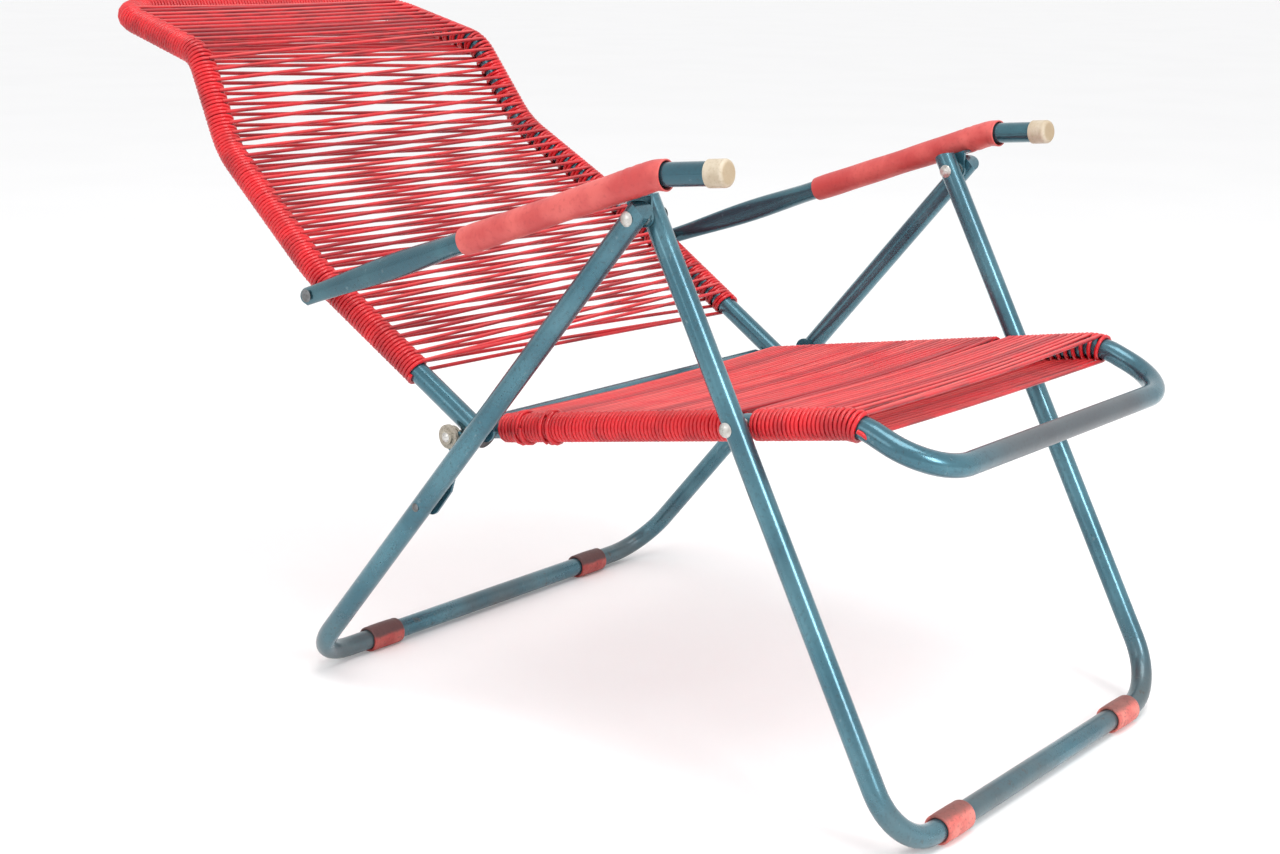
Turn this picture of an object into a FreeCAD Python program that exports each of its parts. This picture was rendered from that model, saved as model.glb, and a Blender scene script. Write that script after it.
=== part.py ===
"""Folding deck chair: two bent-tube leg frames, a seat frame, a back frame and two arms.

All lengths are millimetres. +Z is up, the sitter faces -Y and +X is the sitter's left.
The side view is set out with Y = 0 over the front floor rail; at export everything is
shifted so that the origin lies on the floor under the middle of the bounding box.
"""
import FreeCAD
import Part
import math
import os

Vector = FreeCAD.Vector

# ---- tube and cord stock -------------------------------------------------------------
TUBE_R = 11.0          # outer radius of all the bent steel tube
WALL = 1.2             # tube wall
CORD_D = 4.0           # diameter of the PVC cord
WRAP_IN = TUBE_R + 0.05
WRAP_R = TUBE_R + CORD_D
FIT = 0.05             # radial clearance of a turning pin
GAP = 0.1              # clearance between parts that only lie beside one another

# ---- half widths of the nested frames (tube centre planes) -----------------------------
SEAT_X = 233.0
FRONT_LEG_X = 261.0
REAR_LEG_X = 290.0
BACK_LOW_X = 259.0
BACK_ARM_X = 271.0
BACK_BEND_X = 240.0
BACK_NECK_X = 224.0
BACK_TOP_X = 216.0

# ---- side view points (Y, Z) ------------------------------------------------------------
RAIL_Z = 14.0                  # height of both floor rails
FRONT_RAIL = (0.0, RAIL_Z)
REAR_RAIL = (749.0, RAIL_Z)
APEX = (291.0, 553.0)          # rivet through both legs and the arm bracket
SEAT_PIVOT = (196.0, 370.0)    # rivet from the front leg to the seat frame
BACK_PIVOT = (517.0, 312.4)    # seat frame to back frame
LATCH_ROD = (536.4, 306.2)     # cross rod at the rear of the seat
ARM_PIN = (713.0, 431.5)       # arm to back frame
ARM_BEND = (262.0, 594.5)
ARM_FRONT = (196.0, 601.0)
ARM_REAR_X = 304.0
ARM_BEND_X = 295.0
ARM_FRONT_X = 289.0
SEAT_BEND = (80.0, 389.0)
SEAT_RAIL = (-1.0, 357.0)
BACK_STRAIGHT = (742.0, 449.0)
BACK_BEND = (918.0, 561.0)
BACK_NECK = (984.0, 662.0)
HEAD_RAIL = (1146.0, 704.0)
WRAP_SHARE = 0.38              # share of the back's lowest run left bare of cord

# ---- bend radii ---------------------------------------------------------------------------
LEG_BEND_R = 60.0
SEAT_CORNER_R = 55.0
SEAT_DROP_R = 60.0
BACK_SWEEP_R = 300.0
BACK_LOWER_R = 110.0
BACK_NECK_R = 45.0
HEAD_CORNER_R = 45.0
ARM_BEND_R = 40.0

# ---- small parts ----------------------------------------------------------------------------
RIVET_R = 4.0
RIVET_HEAD_R = 7.0
RIVET_HEAD_H = 2.8
FRONT_TOP_R = 20.0             # rounding of the leg tops round the apex rivet
REAR_TOP_R = 15.2
CLIP_R = 14.5                  # foot clip, flattened to the floor underneath
CLIP_LENGTH = 46.0
FRONT_CLIP_X = 172.0
REAR_CLIP_X = 180.0
PLATE_OUT = REAR_LEG_X - TUBE_R - GAP      # outer face of the latch plate
PLATE_T = 2.7
LOBE_R = 12.0
ROD_R = 4.0
ROD_HEAD_R = 5.0
ROD_HEAD_H = 1.8
BUSH_R = 7.8
BUSH_FLANGE_R = 12.4
BUSH_FLANGE_T = 3.4
BUSH_SEAT_R = 8.1              # radius of the hook that carries the bush
SLEEVE_OUT = 13.5
SLEEVE_IN = 11.6
CAP_R = 12.6
CAP_SKIRT = 11.0               # how far the cap reaches back over the tube
CAP_NOSE = 9.0
BUSH_COLLAR_R = 10.0
BUSH_HUB_R = 7.6
BUSH_HUB_T = 3.0
PIVOT_CLEARANCE_R = 7.4        # hole in the seat rail round the back frame's pivot pin
SPACER_R = 6.5
SLANT = 0.4                    # room beside a tube that leans a little out of the side view

Y_MID = (HEAD_RAIL[0] + WRAP_R - CLIP_R) / 2.0


# ---- helpers ----------------------------------------------------------------------------------
def at(x, point):
    """A point in space from a half width and a side view point."""
    return Vector(x, point[0], point[1])


def toward(start, end, distance):
    """Side view point at a distance from start in the direction of end."""
    length = math.hypot(end[0] - start[0], end[1] - start[1])
    scale = distance / length
    return (start[0] + (end[0] - start[0]) * scale, start[1] + (end[1] - start[1]) * scale)


def bent_wire(points, radii):
    """Straight runs joined by tangent arcs, like a tube from a bender."""
    edges = []
    last = points[0]
    for i, radius in enumerate(radii):
        corner = points[i + 1]
        u = (points[i] - corner).normalize()
        v = (points[i + 2] - corner).normalize()
        half = u.getAngle(v) / 2.0
        reach = radius / math.tan(half)
        start = corner + u * reach
        end = corner + v * reach
        bisector = (u + v).normalize()
        middle = corner + bisector * (radius / math.sin(half) - radius)
        edges.append(Part.makeLine(last, start))
        edges.append(Part.Arc(start, middle, end).toShape())
        last = end
    edges.append(Part.makeLine(last, points[-1]))
    return Part.Wire(edges)


def swept(wire, radius):
    """Round bar of a radius along a wire."""
    first = wire.Edges[0]
    start = first.valueAt(first.FirstParameter)
    direction = first.tangentAt(first.FirstParameter)
    profile = Part.Wire([Part.makeCircle(radius, start, direction)])
    return wire.makePipeShell([profile], True, True)


def tube(wire, outer, inner):
    """Hollow tube along a wire."""
    return swept(wire, outer).cut(swept(wire, inner))


def cross_bar(x0, x1, point, radius):
    """Cylinder lying along X between two half widths."""
    return Part.makeCylinder(radius, abs(x1 - x0), at(min(x0, x1), point), Vector(1, 0, 0))


def mirrored(shape):
    """The same part on the other side of the chair."""
    return shape.mirror(Vector(0, 0, 0), Vector(1, 0, 0))


def group(shapes):
    return Part.makeCompound(shapes)


def both_sides(shape):
    return group([shape, mirrored(shape)])


def domed_head(x, point, outward, radius=RIVET_HEAD_R, height=RIVET_HEAD_H):
    """Low round rivet head standing on the plane x, bulging along +X or -X."""
    sphere_r = (radius ** 2 + height ** 2) / (2.0 * height)
    centre = at(x + outward * (height - sphere_r), point)
    sphere = Part.makeSphere(sphere_r, centre)
    block = cross_bar(x, x + outward * height * 1.5, point, radius * 1.2)
    return sphere.common(block)


def rivet(x0, x1, point, radius=RIVET_R):
    """Shank between two half widths with a domed head on each end (x0 < x1)."""
    shank = cross_bar(x0, x1, point, radius)
    return shank.fuse([domed_head(x0, point, -1), domed_head(x1, point, 1)])


def save(name, shape):
    shape = shape.copy()
    shape.translate(Vector(0, -Y_MID, 0))
    shape.exportStep("parts/" + name + ".step")


# ---- leg frames --------------------------------------------------------------------------------
def leg_line(half_width, rail, beyond_apex):
    """Middle line of a leg frame, its legs reaching a distance past the apex rivet."""
    top = toward(APEX, rail, -beyond_apex)
    corners = [at(-half_width, top), at(-half_width, rail), at(half_width, rail), at(half_width, top)]
    return bent_wire(corners, [LEG_BEND_R, LEG_BEND_R])


def leg_frame(half_width, rail, top_r, hole_r):
    """U frame: two legs down from the apex with closed tops, joined by a floor rail."""
    bore_top = math.sqrt(top_r ** 2 - TUBE_R ** 2) - WALL
    frame = swept(leg_line(half_width, rail, top_r + 2.0), TUBE_R)
    frame = frame.cut(swept(leg_line(half_width, rail, bore_top), TUBE_R - WALL))
    for side in (-1, 1):
        middle = side * half_width
        keep = cross_bar(middle - TUBE_R - 1, middle + TUBE_R + 1, APEX, top_r)
        beyond = Part.makeBox(2 * TUBE_R + 2, 60, 60, Vector(-TUBE_R - 1, -30, 0))
        angle = math.degrees(math.atan2(APEX[0] - rail[0], APEX[1] - rail[1]))
        beyond.rotate(Vector(0, 0, 0), Vector(1, 0, 0), -angle)
        beyond.translate(at(middle, APEX))
        frame = frame.cut(beyond.cut(keep))
        frame = frame.cut(cross_bar(middle - 20, middle + 20, APEX, hole_r))
    return frame


def foot_clip(x, rail_y):
    """Short PVC sleeve gripping the floor rail, flat underneath where it stands."""
    sleeve = cross_bar(x - CLIP_LENGTH / 2, x + CLIP_LENGTH / 2, (rail_y, RAIL_Z), CLIP_R)
    bore = cross_bar(x - CLIP_LENGTH, x + CLIP_LENGTH, (rail_y, RAIL_Z), TUBE_R + FIT)
    below = Part.makeBox(2 * CLIP_LENGTH, 60, 30, Vector(x - CLIP_LENGTH, rail_y - 30, -30))
    return sleeve.cut(bore).cut(below)


front_leg_frame = leg_frame(FRONT_LEG_X, FRONT_RAIL, FRONT_TOP_R, RIVET_R + FIT)
for side in (-1, 1):
    middle = side * FRONT_LEG_X
    front_leg_frame = front_leg_frame.cut(cross_bar(middle - 20, middle + 20, SEAT_PIVOT, RIVET_R + FIT))
rear_leg_frame = leg_frame(REAR_LEG_X, REAR_RAIL, REAR_TOP_R, RIVET_R + FIT)

# ---- latch plates on the inner side of the rear legs ----------------------------------------------
LEG_DIR = Vector(0, REAR_RAIL[0] - APEX[0], REAR_RAIL[1] - APEX[1]).normalize()
LEG_OUT = Vector(0, -LEG_DIR.z, LEG_DIR.y)
UPPER_LOBE = 305.0             # distances from the apex along the rear leg
LOWER_LOBE = 424.0
HOOK_HALF = 12.5
HOOK_LOW = 0.54                # how far round the bush the lower tooth of the hook reaches
BLADE = ((372.0, -3.0), (392.0, -11.0), (424.0, -12.0), (424.0, 0.0))
PLATE_RIVET_R = RIVET_R - 1


def on_leg(along, out):
    """Side view point given by its distance down the rear leg and behind it."""
    spot = at(0, APEX) + LEG_DIR * along + LEG_OUT * out
    return (spot.y, spot.z)


def leg_sheet(x, thickness, outline):
    """Flat sheet with an outline set out along the rear leg."""
    corners = [at(x, on_leg(along, out)) for along, out in outline]
    return Part.Face(Part.makePolygon(corners + [corners[0]])).extrude(Vector(thickness, 0, 0))


def leg_strip(x, thickness, along0, along1, out0, out1):
    """Oblong sheet set out along the rear leg."""
    return leg_sheet(x, thickness, [(along0, out0), (along1, out0), (along1, out1), (along0, out1)])


def latch_plate():
    """Riveted sheet plate with a hook behind the leg that carries the bush of the latch rod."""
    x = PLATE_OUT - PLATE_T
    rod = at(0, LATCH_ROD) - at(0, APEX)
    rod_along = rod.dot(LEG_DIR)
    rod_out = rod.dot(LEG_OUT)
    tooth = rod_out - BUSH_SEAT_R * HOOK_LOW
    plate = leg_strip(x, PLATE_T, UPPER_LOBE, LOWER_LOBE, -3.0, 9.0)
    hook = leg_strip(x, PLATE_T, rod_along - HOOK_HALF, rod_along + HOOK_HALF, 0.0, tooth)
    upper = cross_bar(x, x + PLATE_T, on_leg(UPPER_LOBE, 0), LOBE_R)
    lower = cross_bar(x, x + PLATE_T, on_leg(LOWER_LOBE, 0), LOBE_R)
    blade = leg_sheet(x, PLATE_T, BLADE)
    plate = plate.fuse([hook, upper, lower, blade]).removeSplitter()
    plate = plate.cut(cross_bar(x - 5, x + 10, LATCH_ROD, BUSH_SEAT_R))
    for along in (UPPER_LOBE, LOWER_LOBE):
        plate = plate.cut(cross_bar(x - 5, x + 10, on_leg(along, 0), PLATE_RIVET_R + FIT))
    return plate


def plate_rivet(along, through):
    """Rivet of the latch plate, either right through the leg or closed inside its wall."""
    spot = on_leg(along, 0)
    start = PLATE_OUT - PLATE_T - FIT
    inner_head = cross_bar(start - 1.5, start, spot, PLATE_HEAD_R)
    if through:
        end = REAR_LEG_X + TUBE_R + FIT
        tail = domed_head(end, spot, 1, PLATE_HEAD_R, 1.6)
    else:
        end = REAR_LEG_X - math.sqrt((TUBE_R - WALL) ** 2 - PLATE_HEAD_R ** 2) + GAP
        tail = cross_bar(end, end + 1.5, spot, PLATE_HEAD_R)
    return cross_bar(start, end, spot, PLATE_RIVET_R).fuse([inner_head, tail])


PLATE_HEAD_R = 4.6
plate_rivets = [plate_rivet(UPPER_LOBE, False), plate_rivet(LOWER_LOBE, True)]
for along, hole_end in ((UPPER_LOBE, REAR_LEG_X), (LOWER_LOBE, REAR_LEG_X + 20)):
    for side in (-1, 1):
        hole = cross_bar(side * (REAR_LEG_X - 20), side * hole_end, on_leg(along, 0), PLATE_RIVET_R + FIT)
        rear_leg_frame = rear_leg_frame.cut(hole)
latch_plate_left = latch_plate()

# ---- arms --------------------------------------------------------------------------------------------
ARM_A = at(ARM_REAR_X, ARM_PIN)
ARM_B = at(ARM_BEND_X, ARM_BEND)
ARM_C = at(ARM_FRONT_X, ARM_FRONT)
ARM_DIR = (ARM_B - ARM_A).normalize()
ARM_SIDE = Vector(0, 0, 1).cross(ARM_DIR).normalize()
ARM_UP = ARM_DIR.cross(ARM_SIDE)
ARM_LENGTH = (ARM_B - ARM_A).Length
SLEEVE_REAR = 234.0            # distances from the rear pin along the arm
SLEEVE_FRONT = ARM_LENGTH - 6.0
SWELL = 122.0
ARM_NOSE = 11.0                # the flattened end runs this far past the pin


def arm_oval(distance, half_width, half_height):
    """Elliptical or round section of the arm at a distance from the rear pin."""
    centre = ARM_A + ARM_DIR * distance
    if half_width == half_height:
        return Part.Wire([Part.makeCircle(half_width, centre, ARM_DIR)])
    ellipse = Part.Ellipse(centre + ARM_UP * half_height, centre + ARM_SIDE * half_width, centre)
    return Part.Wire([ellipse.toShape()])


def arm_rear(shrink, nose):
    """Rear part of the arm tube: round at the sleeve, squeezed tall, then drawn in at the pin."""
    sections = [
        (-nose, 5.2, 9.3),
        (14.0, 6.0, 9.6),
        (SWELL - 20.0, 7.0, 12.6),
        (SWELL, 7.6, 12.9),
        (SLEEVE_REAR - 30.0, TUBE_R - 0.2, TUBE_R),
        (SLEEVE_REAR, TUBE_R, TUBE_R),
    ]
    wires = [arm_oval(distance, wide - shrink, tall - shrink) for distance, wide, tall in sections]
    return Part.makeLoft(wires, True, False)


def arm_tube():
    front_wire = bent_wire([ARM_A + ARM_DIR * SLEEVE_REAR, ARM_B, ARM_C], [ARM_BEND_R])
    rear = arm_rear(0.0, ARM_NOSE + 2.0).cut(arm_rear(WALL, 4.0))
    round_end = cross_bar(ARM_REAR_X - 20, ARM_REAR_X + 20, ARM_PIN, ARM_NOSE)
    rear_block = Part.makeBox(60, 60, 60, Vector(ARM_REAR_X - 30, ARM_PIN[0] + 5.0, ARM_PIN[1] - 30))
    rear = rear.cut(rear_block.cut(round_end))
    rear = rear.cut(cross_bar(ARM_REAR_X - 20, ARM_REAR_X + 20, ARM_PIN, RIVET_R + FIT))
    return rear.fuse(tube(front_wire, TUBE_R, TUBE_R - WALL)).removeSplitter()


def along_arm(distance, up):
    """Side view point set out along the arm and above its centre line."""
    direction = Vector(0, ARM_DIR.y, ARM_DIR.z).normalize()
    normal = Vector(0, -direction.z, direction.y)
    spot = at(0, ARM_PIN) + direction * distance - normal * up
    return (spot.y, spot.z)


def sheet(x, thickness, outline):
    """Flat plate parallel to the side view, from x outwards."""
    corners = [at(x, spot) for spot in outline]
    return Part.Face(Part.makePolygon(corners + [corners[0]])).extrude(Vector(thickness, 0, 0))


def bracket_place():
    """How far along the arm the apex rivet lies, and how far under its centre line."""
    pin = at(0, APEX) - at(0, ARM_PIN)
    direction = Vector(0, ARM_DIR.y, ARM_DIR.z).normalize()
    return pin.dot(direction), pin.cross(direction).Length


BRACKET_X = 274.0
BRACKET_T = 3.0
BRACKET_HALF = 15.0
BRACKET_TOP = -TUBE_R - 0.1
BRACKET_EYE_R = 10.0
FLANGE_T = 2.4
FLANGE_REACH = 24.0
BRACKET_ALONG, BRACKET_DROP = bracket_place()


def arm_bracket():
    """Bent sheet bracket: a flange under the arm tube and a three-cornered ear to the rivet."""
    back, front = BRACKET_ALONG - BRACKET_HALF, BRACKET_ALONG + BRACKET_HALF
    ear = sheet(BRACKET_X, BRACKET_T, [
        along_arm(back, BRACKET_TOP),
        along_arm(front, BRACKET_TOP),
        along_arm(front, BRACKET_TOP - 3.0),
        along_arm(BRACKET_ALONG + 9.0, -BRACKET_DROP),
        along_arm(BRACKET_ALONG - 9.0, -BRACKET_DROP),
        along_arm(back, BRACKET_TOP - 3.0),
    ])
    flange = sheet(BRACKET_X, FLANGE_REACH, [
        along_arm(back, BRACKET_TOP),
        along_arm(front, BRACKET_TOP),
        along_arm(front, BRACKET_TOP - FLANGE_T),
        along_arm(back, BRACKET_TOP - FLANGE_T),
    ])
    eye = cross_bar(BRACKET_X, BRACKET_X + BRACKET_T, APEX, BRACKET_EYE_R)
    bracket = ear.fuse([eye, flange]).removeSplitter()
    return bracket.cut(cross_bar(BRACKET_X - 5, BRACKET_X + 10, APEX, RIVET_R + FIT))


def arm_sleeve():
    """PVC sleeve over the arm tube, slit underneath for the bracket."""
    start = ARM_A + ARM_DIR * SLEEVE_REAR
    length = SLEEVE_FRONT - SLEEVE_REAR
    sleeve = Part.makeCylinder(SLEEVE_OUT, length, start, ARM_DIR)
    bore = Part.makeCylinder(SLEEVE_IN, length + 2, start - ARM_DIR, ARM_DIR)
    slit = sheet(BRACKET_X - 4.0, FLANGE_REACH + 5.0, [
        along_arm(BRACKET_ALONG - BRACKET_HALF - 1.0, 1.0 - TUBE_R),
        along_arm(BRACKET_ALONG + BRACKET_HALF + 1.0, 1.0 - TUBE_R),
        along_arm(BRACKET_ALONG + BRACKET_HALF + 1.0, -30.0),
        along_arm(BRACKET_ALONG - BRACKET_HALF - 1.0, -30.0),
    ])
    return sleeve.cut(bore).cut(slit)


arm_bracket_left = arm_bracket()
arm_tube_left = arm_tube()
arm_sleeve_left = arm_sleeve()
front_direction = (ARM_C - ARM_B).normalize()
cap_start = ARM_C - front_direction * CAP_SKIRT
cap_body = Part.makeCylinder(CAP_R, CAP_SKIRT + CAP_NOSE, cap_start, front_direction)
cap_body = cap_body.makeFillet(4.0, [cap_body.Edges[0]])
cap_bore = Part.makeCylinder(TUBE_R + FIT, CAP_SKIRT + GAP, cap_start, front_direction)
arm_cap_left = cap_body.cut(cap_bore)

# ---- back frame --------------------------------------------------------------------------------------
BACK_END = toward(BACK_PIVOT, BACK_STRAIGHT, -13.0)
BACK_RADII = [BACK_SWEEP_R, BACK_LOWER_R, BACK_NECK_R]
BACK_CORNERS = [
    at(-BACK_LOW_X, BACK_END),
    at(-BACK_ARM_X, BACK_STRAIGHT),
    at(-BACK_BEND_X, BACK_BEND),
    at(-BACK_NECK_X, BACK_NECK),
    at(-BACK_TOP_X, HEAD_RAIL),
]
BACK_LOW_RUN = BACK_CORNERS[1] - BACK_CORNERS[0]
PLUG_GAP = 0.1
PLUG_HEAD = 3.0
PLUG_STEM = 5.0


def mirror_points(points):
    """The same corners on the other side, in the order in which the tube goes on."""
    return [Vector(-p.x, p.y, p.z) for p in reversed(points)]


def back_half_width(point):
    """Half width of the back frame where its lowest run passes a side view point."""
    share = (point[0] - BACK_END[0]) / BACK_LOW_RUN.y
    return BACK_LOW_X + share * (BACK_ARM_X - BACK_LOW_X)


def below_head_rail(distance):
    """Point on the straight run of the headrest, a distance short of its top corner."""
    corner = BACK_CORNERS[-1]
    return corner + (BACK_CORNERS[-2] - corner).normalize() * distance


back_wire = bent_wire(
    BACK_CORNERS + mirror_points(BACK_CORNERS),
    BACK_RADII + [HEAD_CORNER_R] * 2 + list(reversed(BACK_RADII)),
)
back_frame = tube(back_wire, TUBE_R, TUBE_R - WALL)
for side in (-1, 1):
    for hole in (BACK_PIVOT, ARM_PIN):
        middle = side * back_half_width(hole)
        back_frame = back_frame.cut(cross_bar(middle - 20, middle + 20, hole, RIVET_R + FIT))

pivot_face = back_half_width(BACK_PIVOT) + TUBE_R + SLANT
pivot_shank = cross_bar(SEAT_X + 2.0, pivot_face, BACK_PIVOT, RIVET_R)
pivot_head = cross_bar(pivot_face, pivot_face + 1.2, BACK_PIVOT, RIVET_HEAD_R - 1)
back_pivot_pin_left = pivot_shank.fuse(pivot_head)

arm_pin_inner = back_half_width(ARM_PIN) - TUBE_R - SLANT
spacer_x0 = back_half_width(ARM_PIN) + TUBE_R + SLANT
spacer_x1 = ARM_REAR_X - 6.6
arm_pin_left = rivet(arm_pin_inner, ARM_REAR_X + 7.4, ARM_PIN)
arm_spacer_left = cross_bar(spacer_x0, spacer_x1, ARM_PIN, SPACER_R)
arm_spacer_left = arm_spacer_left.cut(cross_bar(spacer_x0 - 1, spacer_x1 + 1, ARM_PIN, RIVET_R + FIT))

plug_face = at(BACK_LOW_X, BACK_END)
plug_direction = (at(BACK_ARM_X, BACK_STRAIGHT) - plug_face).normalize()
plug_head = Part.makeCylinder(TUBE_R, PLUG_HEAD, plug_face - plug_direction * (PLUG_HEAD + PLUG_GAP), plug_direction)
plug_head = plug_head.makeFillet(1.2, [plug_head.Edges[2]])
plug_stem = Part.makeCylinder(TUBE_R - WALL - FIT, PLUG_STEM, plug_face - plug_direction * 2 * PLUG_GAP, plug_direction)
back_end_plug_left = plug_head.fuse(plug_stem)

# cord wound round the back frame: plain sleeves, one for each side and one for the top
SIDE_WRAP_END = HEAD_CORNER_R + 1.0
TOP_WRAP_END = HEAD_CORNER_R + 0.6
PIN_WINDOW_R = 8.5
wrap_start = BACK_CORNERS[0] + BACK_LOW_RUN * WRAP_SHARE
wrap_corners = [wrap_start] + BACK_CORNERS[1:4]
side_wire = bent_wire(wrap_corners + [below_head_rail(SIDE_WRAP_END)], BACK_RADII)
back_wrap_right = tube(side_wire, WRAP_R, WRAP_IN)
pin_window = cross_bar(-BACK_ARM_X - 20, -BACK_ARM_X + 20, ARM_PIN, PIN_WINDOW_R)
back_wrap_right = back_wrap_right.cut(pin_window)
back_wrap_left = mirrored(back_wrap_right)
top_corners = [below_head_rail(TOP_WRAP_END), BACK_CORNERS[-1]]
top_wire = bent_wire(top_corners + mirror_points(top_corners), [HEAD_CORNER_R] * 2)
back_wrap_top = tube(top_wire, WRAP_R, WRAP_IN)


# ---- seat frame ------------------------------------------------------------------------------------------
SEAT_REAR = toward(LATCH_ROD, SEAT_BEND, TUBE_R + 0.3)
seat_corners = [at(-SEAT_X, SEAT_REAR), at(-SEAT_X, SEAT_BEND), at(-SEAT_X, SEAT_RAIL)]
seat_corners += [Vector(-p.x, p.y, p.z) for p in reversed(seat_corners)]
seat_wire = bent_wire(seat_corners, [SEAT_DROP_R, SEAT_CORNER_R, SEAT_CORNER_R, SEAT_DROP_R])
seat_frame = tube(seat_wire, TUBE_R, TUBE_R - WALL)
for side in (-1, 1):
    pivot_hole = cross_bar(side * (SEAT_X - 20), side * (SEAT_X + 20), SEAT_PIVOT, RIVET_R + FIT)
    pin_hole = cross_bar(side * (SEAT_X + 1), side * (SEAT_X + 20), BACK_PIVOT, PIVOT_CLEARANCE_R)
    seat_frame = seat_frame.cut(pivot_hole).cut(pin_hole)
seat_cross_tube = cross_bar(-SEAT_X - TUBE_R, SEAT_X + TUBE_R, LATCH_ROD, TUBE_R)
seat_cross_tube = seat_cross_tube.cut(cross_bar(-SEAT_X - 20, SEAT_X + 20, LATCH_ROD, ROD_R + FIT))

# the rod runs through the cross tube and beside the back frame to a bush at each end
bush_x0 = BACK_ARM_X + 1.6
flange_x0 = PLATE_OUT + 0.3
flange_x1 = flange_x0 + BUSH_FLANGE_T
hub_x1 = flange_x1 + BUSH_HUB_T
latch_rod = cross_bar(-hub_x1 - FIT, hub_x1 + FIT, LATCH_ROD, ROD_R)
bush = cross_bar(bush_x0, flange_x0, LATCH_ROD, BUSH_R)
flange = cross_bar(flange_x0, flange_x1, LATCH_ROD, BUSH_FLANGE_R)
collar = cross_bar(bush_x0, PLATE_OUT - PLATE_T - SLANT, LATCH_ROD, BUSH_COLLAR_R)
hub = cross_bar(flange_x1, hub_x1, LATCH_ROD, BUSH_HUB_R)
latch_bush_left = bush.fuse([flange, collar, hub]).removeSplitter()
latch_bush_left = latch_bush_left.cut(cross_bar(bush_x0 - 1, hub_x1 + 1, LATCH_ROD, ROD_R + FIT))
rod_head = domed_head(hub_x1 + FIT, LATCH_ROD, 1, ROD_HEAD_R, ROD_HEAD_H)
latch_rod = latch_rod.fuse([rod_head, mirrored(rod_head)])

seat_rivet_left = rivet(SEAT_X - TUBE_R - FIT, FRONT_LEG_X + TUBE_R + FIT, SEAT_PIVOT)
seat_spacer_x0 = SEAT_X + TUBE_R + FIT
seat_spacer_x1 = FRONT_LEG_X - TUBE_R - FIT
seat_spacer_left = cross_bar(seat_spacer_x0, seat_spacer_x1, SEAT_PIVOT, SPACER_R)
seat_spacer_left = seat_spacer_left.cut(cross_bar(seat_spacer_x0 - 1, seat_spacer_x1 + 1, SEAT_PIVOT, RIVET_R + FIT))

# cord wound round the seat rails, interrupted at the leg rivets
SEAT_WRAP_REAR = toward(LATCH_ROD, SEAT_BEND, 34.0)
SEAT_WRAP_TURN = math.radians(23.0)      # the cord goes this far round the front bend
WRAP_GAP = 8.0


def part_bend(before, corner, after, radius, angle):
    """Corner and end of a bend that stops after a part of its turn."""
    u = (corner - before).normalize()
    v = (after - corner).normalize()
    start = corner - u * (radius * math.tan(u.getAngle(v) / 2.0))
    reach = radius * math.tan(angle / 2.0)
    turned = FreeCAD.Rotation(u.cross(v), math.degrees(angle)).multVec(u)
    return start + u * reach, start + u * reach + turned * (reach + GAP)


def on_seat(y):
    """Side view point on the straight part of the seat rail."""
    share = (y - SEAT_BEND[0]) / (LATCH_ROD[0] - SEAT_BEND[0])
    return (y, SEAT_BEND[1] + share * (LATCH_ROD[1] - SEAT_BEND[1]))


def seat_line(start, side):
    """Rail line from a station forward and round the first part of the front bend."""
    x = side * SEAT_X
    corner, end = part_bend(at(x, LATCH_ROD), at(x, SEAT_BEND), at(x, SEAT_RAIL), SEAT_DROP_R, SEAT_WRAP_TURN)
    return bent_wire([at(x, start), corner, end], [SEAT_DROP_R])


rear_wrap_line = Part.makeLine(at(SEAT_X, SEAT_WRAP_REAR), at(SEAT_X, on_seat(SEAT_PIVOT[0] + WRAP_GAP)))
seat_wrap_rear_left = tube(Part.Wire([rear_wrap_line]), WRAP_R, WRAP_IN)
seat_wrap_front_left = tube(seat_line(on_seat(SEAT_PIVOT[0] - WRAP_GAP), 1), WRAP_R, WRAP_IN)


# ---- cord webs: the crossing strands as thin closed sheets ---------------------------------------------------
WEB_IN = TUBE_R + 0.1          # the layers lie this far either side of the rail planes
WEB_SIDE_GAP = 0.4
WEB_TOP_GAP = 19.0             # from the top rail to the last strand
WEB_TOP_HALF = 203.0           # drawn in there to clear the rounded corners


def web(stations, layer):
    """Sheet of one cord layer; stations are (half width, side view point, unit normal)."""
    overhang = math.sqrt(WRAP_R ** 2 - WEB_IN ** 2) + WEB_SIDE_GAP
    wires = []
    for half, point, normal in stations:
        reach = half - overhang
        low = (point[0] + normal[0] * WEB_IN * layer, point[1] + normal[1] * WEB_IN * layer)
        high = (point[0] + normal[0] * WRAP_R * layer, point[1] + normal[1] * WRAP_R * layer)
        corners = [at(-reach, low), at(reach, low), at(reach, high), at(-reach, high)]
        wires.append(Part.makePolygon(corners + [corners[0]]))
    return Part.makeLoft(wires, True, True)


def station(point, tangent):
    """Half width, side view point and side view normal of one place on a rail."""
    length = math.hypot(tangent.y, tangent.z)
    return (abs(point.x), (point.y, point.z), (-tangent.z / length, tangent.y / length))


def wire_stations(wire, count_per_arc):
    """Stations along one side of a bent tube."""
    stations = []
    for edge in wire.Edges:
        count = count_per_arc if edge.Curve.TypeId == "Part::GeomCircle" else 1
        for k in range(count):
            spot = edge.FirstParameter + (edge.LastParameter - edge.FirstParameter) * k / count
            stations.append(station(edge.valueAt(spot), edge.tangentAt(spot)))
    last = wire.Edges[-1]
    stations.append(station(last.valueAt(last.LastParameter), last.tangentAt(last.LastParameter)))
    return stations


back_stations = wire_stations(side_wire, 4)
web_top = below_head_rail(WEB_TOP_GAP)
back_stations.append((WEB_TOP_HALF, (web_top.y, web_top.z), back_stations[-1][2]))
back_web_front = web(back_stations, 1)
back_web_rear = web(back_stations, -1)
seat_stations = wire_stations(seat_line(SEAT_WRAP_REAR, -1), 4)
seat_web_top = web(seat_stations, -1)
seat_web_under = web(seat_stations, 1)

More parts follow.
